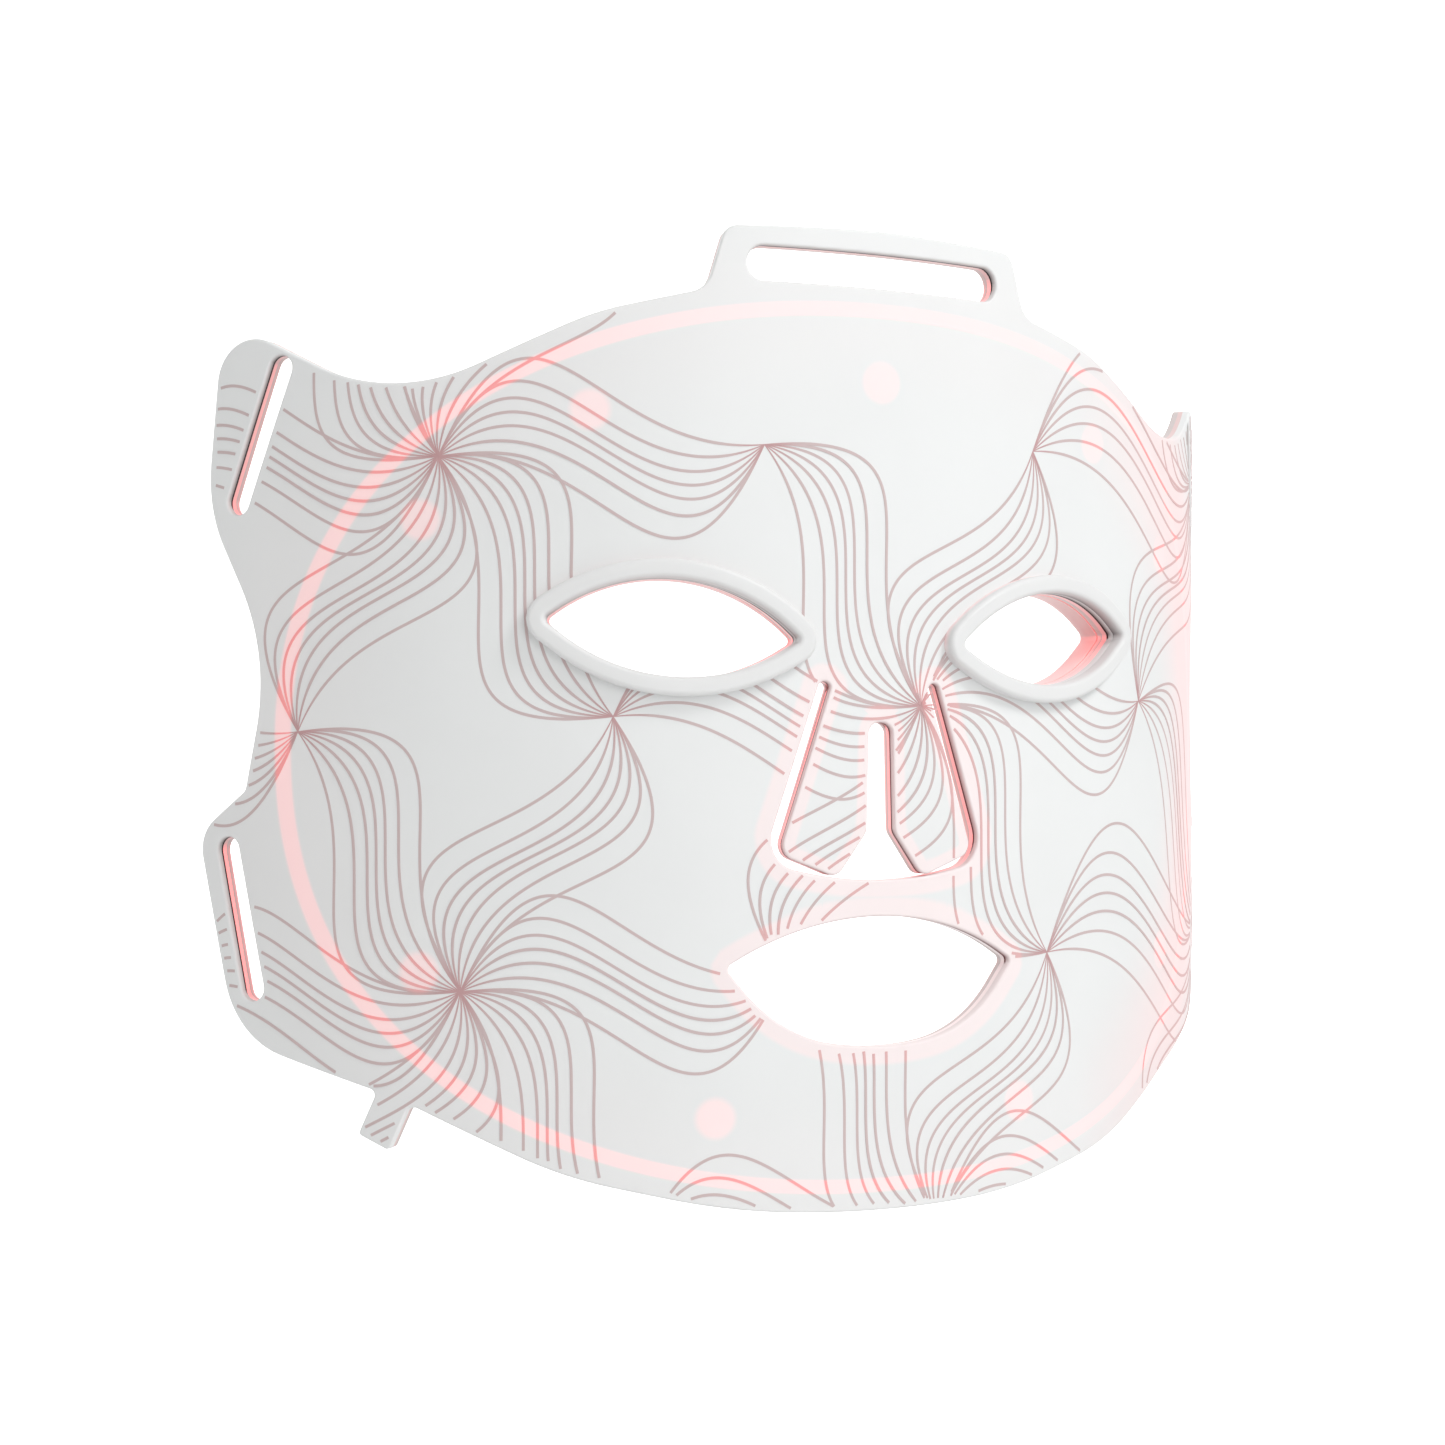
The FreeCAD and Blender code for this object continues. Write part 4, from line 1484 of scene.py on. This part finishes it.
@dataclass
class Mask:
    """The whole mask: skins, print, rims and guards, and the finishes of the pieces that stay as designed."""

    pieces: list[bpy.types.Object] = field(default_factory=list)

    def chips(self) -> np.ndarray:
        """The flat middle of every red chip, read from the frame.

        Returns:
            Rows of (across, up).
        """
        middles = []
        for node in ("red_leds", "nose_flap_leds_left", "nose_flap_leds_right"):
            bm = bmesh.new()
            bm.from_mesh(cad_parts[node].data)
            bmesh.ops.remove_doubles(bm, verts=bm.verts, dist=1e-6)
            waiting = set(bm.verts)
            while waiting:
                chip = set()
                edge_of_search = [waiting.pop()]
                while edge_of_search:
                    vert = edge_of_search.pop()
                    chip.add(vert)
                    for edge in vert.link_edges:
                        other = edge.other_vert(vert)
                        if other in waiting:
                            waiting.remove(other)
                            edge_of_search.append(other)
                middle = sum((v.co for v in chip), Vector()) / len(chip) / MM
                angle = math.atan2(middle.x, AXIS - middle.y)
                middles.append((angle * OUTER, middle.z))
            bm.free()
        return np.array(middles)

    def add(self, thing: bpy.types.Object, finish: bpy.types.Material, slot: str, *nodes: str) -> None:
        """Dresses a piece, hides the designed nodes that it replaces and keeps it.

        Args:
            thing: the piece.
            finish: its material.
            slot: a material slot's name; not used.
            nodes: the designed nodes that it replaces.
        """
        thing.data.materials.append(finish)
        if nodes:
            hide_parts(*nodes)
        self.pieces.append(thing)
        log.info("%s: %d faces", thing.name, len(thing.data.polygons))

    def hang(self, thing: bpy.types.Object, side: Optional[Side]) -> None:
        """Makes a piece ride on the mask; a flap's piece only has its placement baked in.

        Args:
            thing: the piece.
            side: the flap's side, or None for the mask's own part.
        """
        if side is None:
            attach(thing, "mask")
            return
        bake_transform(thing)

    def build(self) -> None:
        """Builds and dresses every piece."""
        cover_finish = COVER_SILICONE.make()
        liner_finish = LINER_SILICONE.make()
        rim_finish = RIM_SILICONE.make()
        core_finish = CORE_SILICONE.make()
        ink = PrintInk().make()
        sides = (None, Side.LEFT, Side.RIGHT)
        for thing, side in zip(COVER.build(), sides):
            node = f"nose_flap_cover_{side.word}" if side else "front_cover"
            self.add(thing, cover_finish, "cover_silicone", node)
            self.hang(thing, side)
        liner = Liner("liner_skin", "flap_liner_skin", LINER_BACK - OUTER, LINER_FRONT - OUTER, False,
                      chips=self.chips())
        for thing, side in zip(liner.build(), sides):
            node = f"nose_flap_liner_{side.word}" if side else "face_liner"
            self.add(thing, liner_finish, "clear_silicone", node)
            self.hang(thing, side)
        for side in sides:
            thing = FacePrint().build(side)
            self.add(thing, ink, "cover_silicone")
            self.hang(thing, side)
        ring = EdgeSheet().build()
        self.add(ring, core_finish, "clear_silicone", "edge_sheet")
        self.hang(ring, None)
        for side in Side:
            rim = EyeRim().build(side)
            self.add(rim, rim_finish, "rim_silicone", f"eye_rim_{side.word}")
            self.hang(rim, None)
            guard = EyeGuard().build(side)
            self.add(guard, core_finish, "clear_silicone", f"eye_guard_{side.word}")
            self.hang(guard, None)
        self.dress_nodes()

    def dress_nodes(self) -> None:
        """Gives each piece that stays as designed its real finish."""
        finishes = {
            CLEAR_SILICONE: ["mouth_bead"],
            LIT_SILICONE: ["nose_bead", "eye_bead_left", "eye_bead_right", "bond_posts",
                           "nose_flap_bead_left", "nose_flap_bead_right"],
            RED_LENS: ["red_leds", "nose_flap_leds_left", "nose_flap_leds_right"],
            DARK_LENS: ["infrared_leds"],
            FILM: ["flex_circuit", "nose_flap_circuit_left", "nose_flap_circuit_right"],
            CERAMIC: ["resistors"],
            PLATING: ["inlet_shell"],
            BLACK_PLASTIC: ["inlet_tongue"],
            GOLD: ["inlet_contacts"],
        }
        for finish, nodes in finishes.items():
            material = finish.make()
            for node in nodes:
                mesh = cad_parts[node].data
                mesh.materials.clear()
                mesh.materials.append(material)
                log.info("%s: %s", node, finish.name)


COVER = Cover("cover_skin", "flap_cover_skin", COVER_BACK - OUTER, 0.0, True)


# ---------------------------------------------------------------- studio


@dataclass
class Studio:
    """A white sweep, soft lights and the camera. Every length is in metres.

    Attributes:
        floor_drop: how far the floor lies under the mask.
        eye: the camera's place.
        heading: the direction it looks in.
        lens: its focal length in mm, on a 36 mm sensor.
        shift_up: the lens shift, as a share of the sensor's width.
        half_width: half the sweep's width.
        near: where the sweep starts, in front of the mask.
        far: where it starts to rise.
        sweep_radius: how gently it rises.
        wall_height: how high its wall stands.
        left_sky: strength of the sky at the left.
        right_sky: its strength at the right.
    """

    floor_drop: float = 0.5
    eye: tuple[float, float, float] = (-0.2315, -0.4258, -0.024)
    heading: tuple[float, float, float] = (0.4248, 0.9053, 0.0)
    lens: float = 62.6
    shift_up: float = 0.0485
    half_width: float = 6.0
    near: float = -5.0
    far: float = 2.2
    sweep_radius: float = 0.5
    wall_height: float = 5.0
    left_sky: float = 0.6
    right_sky: float = 0.56

    def build(self, low: float) -> None:
        """Sets up the backdrop, the lights, the world and the camera.

        Args:
            low: the mask's lowest height, in metres.
        """
        self.backdrop(low - self.floor_drop)
        self.lights()
        self.world()
        self.camera()

    def backdrop(self, floor: float) -> None:
        """A pale floor that sweeps up into a wall behind.

        Args:
            floor: the floor's height, in metres.
        """
        bm = bmesh.new()
        left, far = -self.half_width, self.far
        points = [Vector((left, self.near, floor)), Vector((left, far, floor))]
        steps = 12
        for i in range(1, steps + 1):
            angle = math.pi / 2 * i / steps
            points.append(Vector((left, far + self.sweep_radius * math.sin(angle),
                                  floor + self.sweep_radius * (1 - math.cos(angle)))))
        points.append(Vector((left, far + self.sweep_radius, floor + self.wall_height)))
        verts = [bm.verts.new(point) for point in points]
        edges = [bm.edges.new(pair) for pair in zip(verts, verts[1:])]
        made = bmesh.ops.extrude_edge_only(bm, edges=edges)["geom"]
        bmesh.ops.translate(bm, verts=new_verts(made), vec=(2 * self.half_width, 0, 0))
        bmesh.ops.recalc_face_normals(bm, faces=bm.faces)
        if bm.faces[:][0].normal.z < 0:
            bmesh.ops.reverse_faces(bm, faces=bm.faces)
        mesh = bpy.data.meshes.new("studio_sweep")
        bm.to_mesh(mesh)
        bm.free()
        mesh.polygons.foreach_set("use_smooth", [True] * len(mesh.polygons))
        thing = bpy.data.objects.new("studio_sweep", mesh)
        bpy.context.scene.collection.objects.link(thing)
        material, tree = new_material("white_paper_sweep")
        # matt seamless paper with painted light: an emission that grows towards the back until it goes clean white
        place = add_node(tree, "TexCoord").outputs["Object"]
        depth = add_node(tree, "SeparateXYZ", {0: place}).outputs["Y"]
        painted_back_light = add_node(tree, "MapRange", {"Value": depth, "From Min": 0.8, "From Max": 1.5, "To Max": 0.75},
                        interpolation_type="SMOOTHSTEP").outputs[0]
        fibre = add_node(tree, "TexNoise", {"Vector": place, "Scale": 1 / (2 * MM), "Detail": 2.0})
        rough = add_node(tree, "MapRange", {"Value": fibre.outputs["Fac"], "To Min": 0.85, "To Max": 0.95})
        shader = add_node(tree, "BsdfPrincipled", {
            "Base Color": linear("#F4F4F4"), "Roughness": rough.outputs[0],
            "Emission Color": linear("#FFFFFF"), "Emission Strength": painted_back_light})
        output = add_node(tree, "OutputMaterial")
        tree.links.new(shader.outputs[0], output.inputs["Surface"])
        mesh.materials.append(material)
        thing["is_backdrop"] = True

    def lights(self) -> None:
        """A soft key at the upper right front, and a large weak fill straight in front."""
        lamps = [  # name, place, width in metres and power in watts
            ("soft_key", (0.62, -0.85, 1.05), 0.4, 9.5),
            ("front_fill", (0.05, -1.2, 0.35), 0.8, 4.0),
        ]
        for name, place, width, power in lamps:
            data = bpy.data.lights.new(name, "AREA")
            data.shape = "SQUARE"
            data.size = width
            data.energy = power
            lamp = bpy.data.objects.new(name, data)
            lamp.location = place
            lamp.rotation_euler = (Vector((0, 0.03, -0.01)) - Vector(place)).to_track_quat("-Z", "Y").to_euler()
            bpy.context.scene.collection.objects.link(lamp)

    def world(self) -> None:
        """A pale sky, dimmer at the left, so that no side is dark and the sheet's bend still shows."""
        world = bpy.data.worlds.new("pale_room")
        world.use_nodes = True
        tree = world.node_tree
        tree.nodes.clear()
        aim = add_node(tree, "TexCoord").outputs["Generated"]
        sideways = add_node(tree, "SeparateXYZ", {0: aim}).outputs["X"]
        strength = add_node(tree, "MapRange", {"Value": sideways, "From Min": -0.9, "From Max": 0.6,
                                               "To Min": self.left_sky, "To Max": self.right_sky},
                            interpolation_type="SMOOTHSTEP").outputs[0]
        light = add_node(tree, "Background", {"Color": linear("#FCFBFA"), "Strength": strength})
        output = add_node(tree, "OutputWorld")
        tree.links.new(light.outputs[0], output.inputs["Surface"])
        bpy.context.scene.world = world

    def camera(self) -> None:
        """The camera, level, a little left of the mask's front."""
        data = bpy.data.cameras.new("camera")
        data.lens = self.lens
        data.sensor_width = 36
        data.shift_y = self.shift_up
        data.clip_start = 0.01
        camera = bpy.data.objects.new("camera", data)
        camera.location = self.eye
        camera.rotation_euler = Vector(self.heading).to_track_quat("-Z", "Y").to_euler()
        bpy.context.scene.collection.objects.link(camera)
        bpy.context.scene.camera = camera
        bpy.context.scene.view_settings.view_transform = "Standard"


def plain_box(bounds: Any) -> list[list[float]]:
    """A box's two corners as lists of numbers."""
    return [[float(value) for value in corner] for corner in bounds]


def main() -> None:
    """Builds the mask and its studio."""
    logging.basicConfig(level=logging.INFO, format="%(message)s")
    design = plain_box(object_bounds())
    Mask().build()
    Studio().build(design[0][2])


if __name__ == "__main__":
    main()
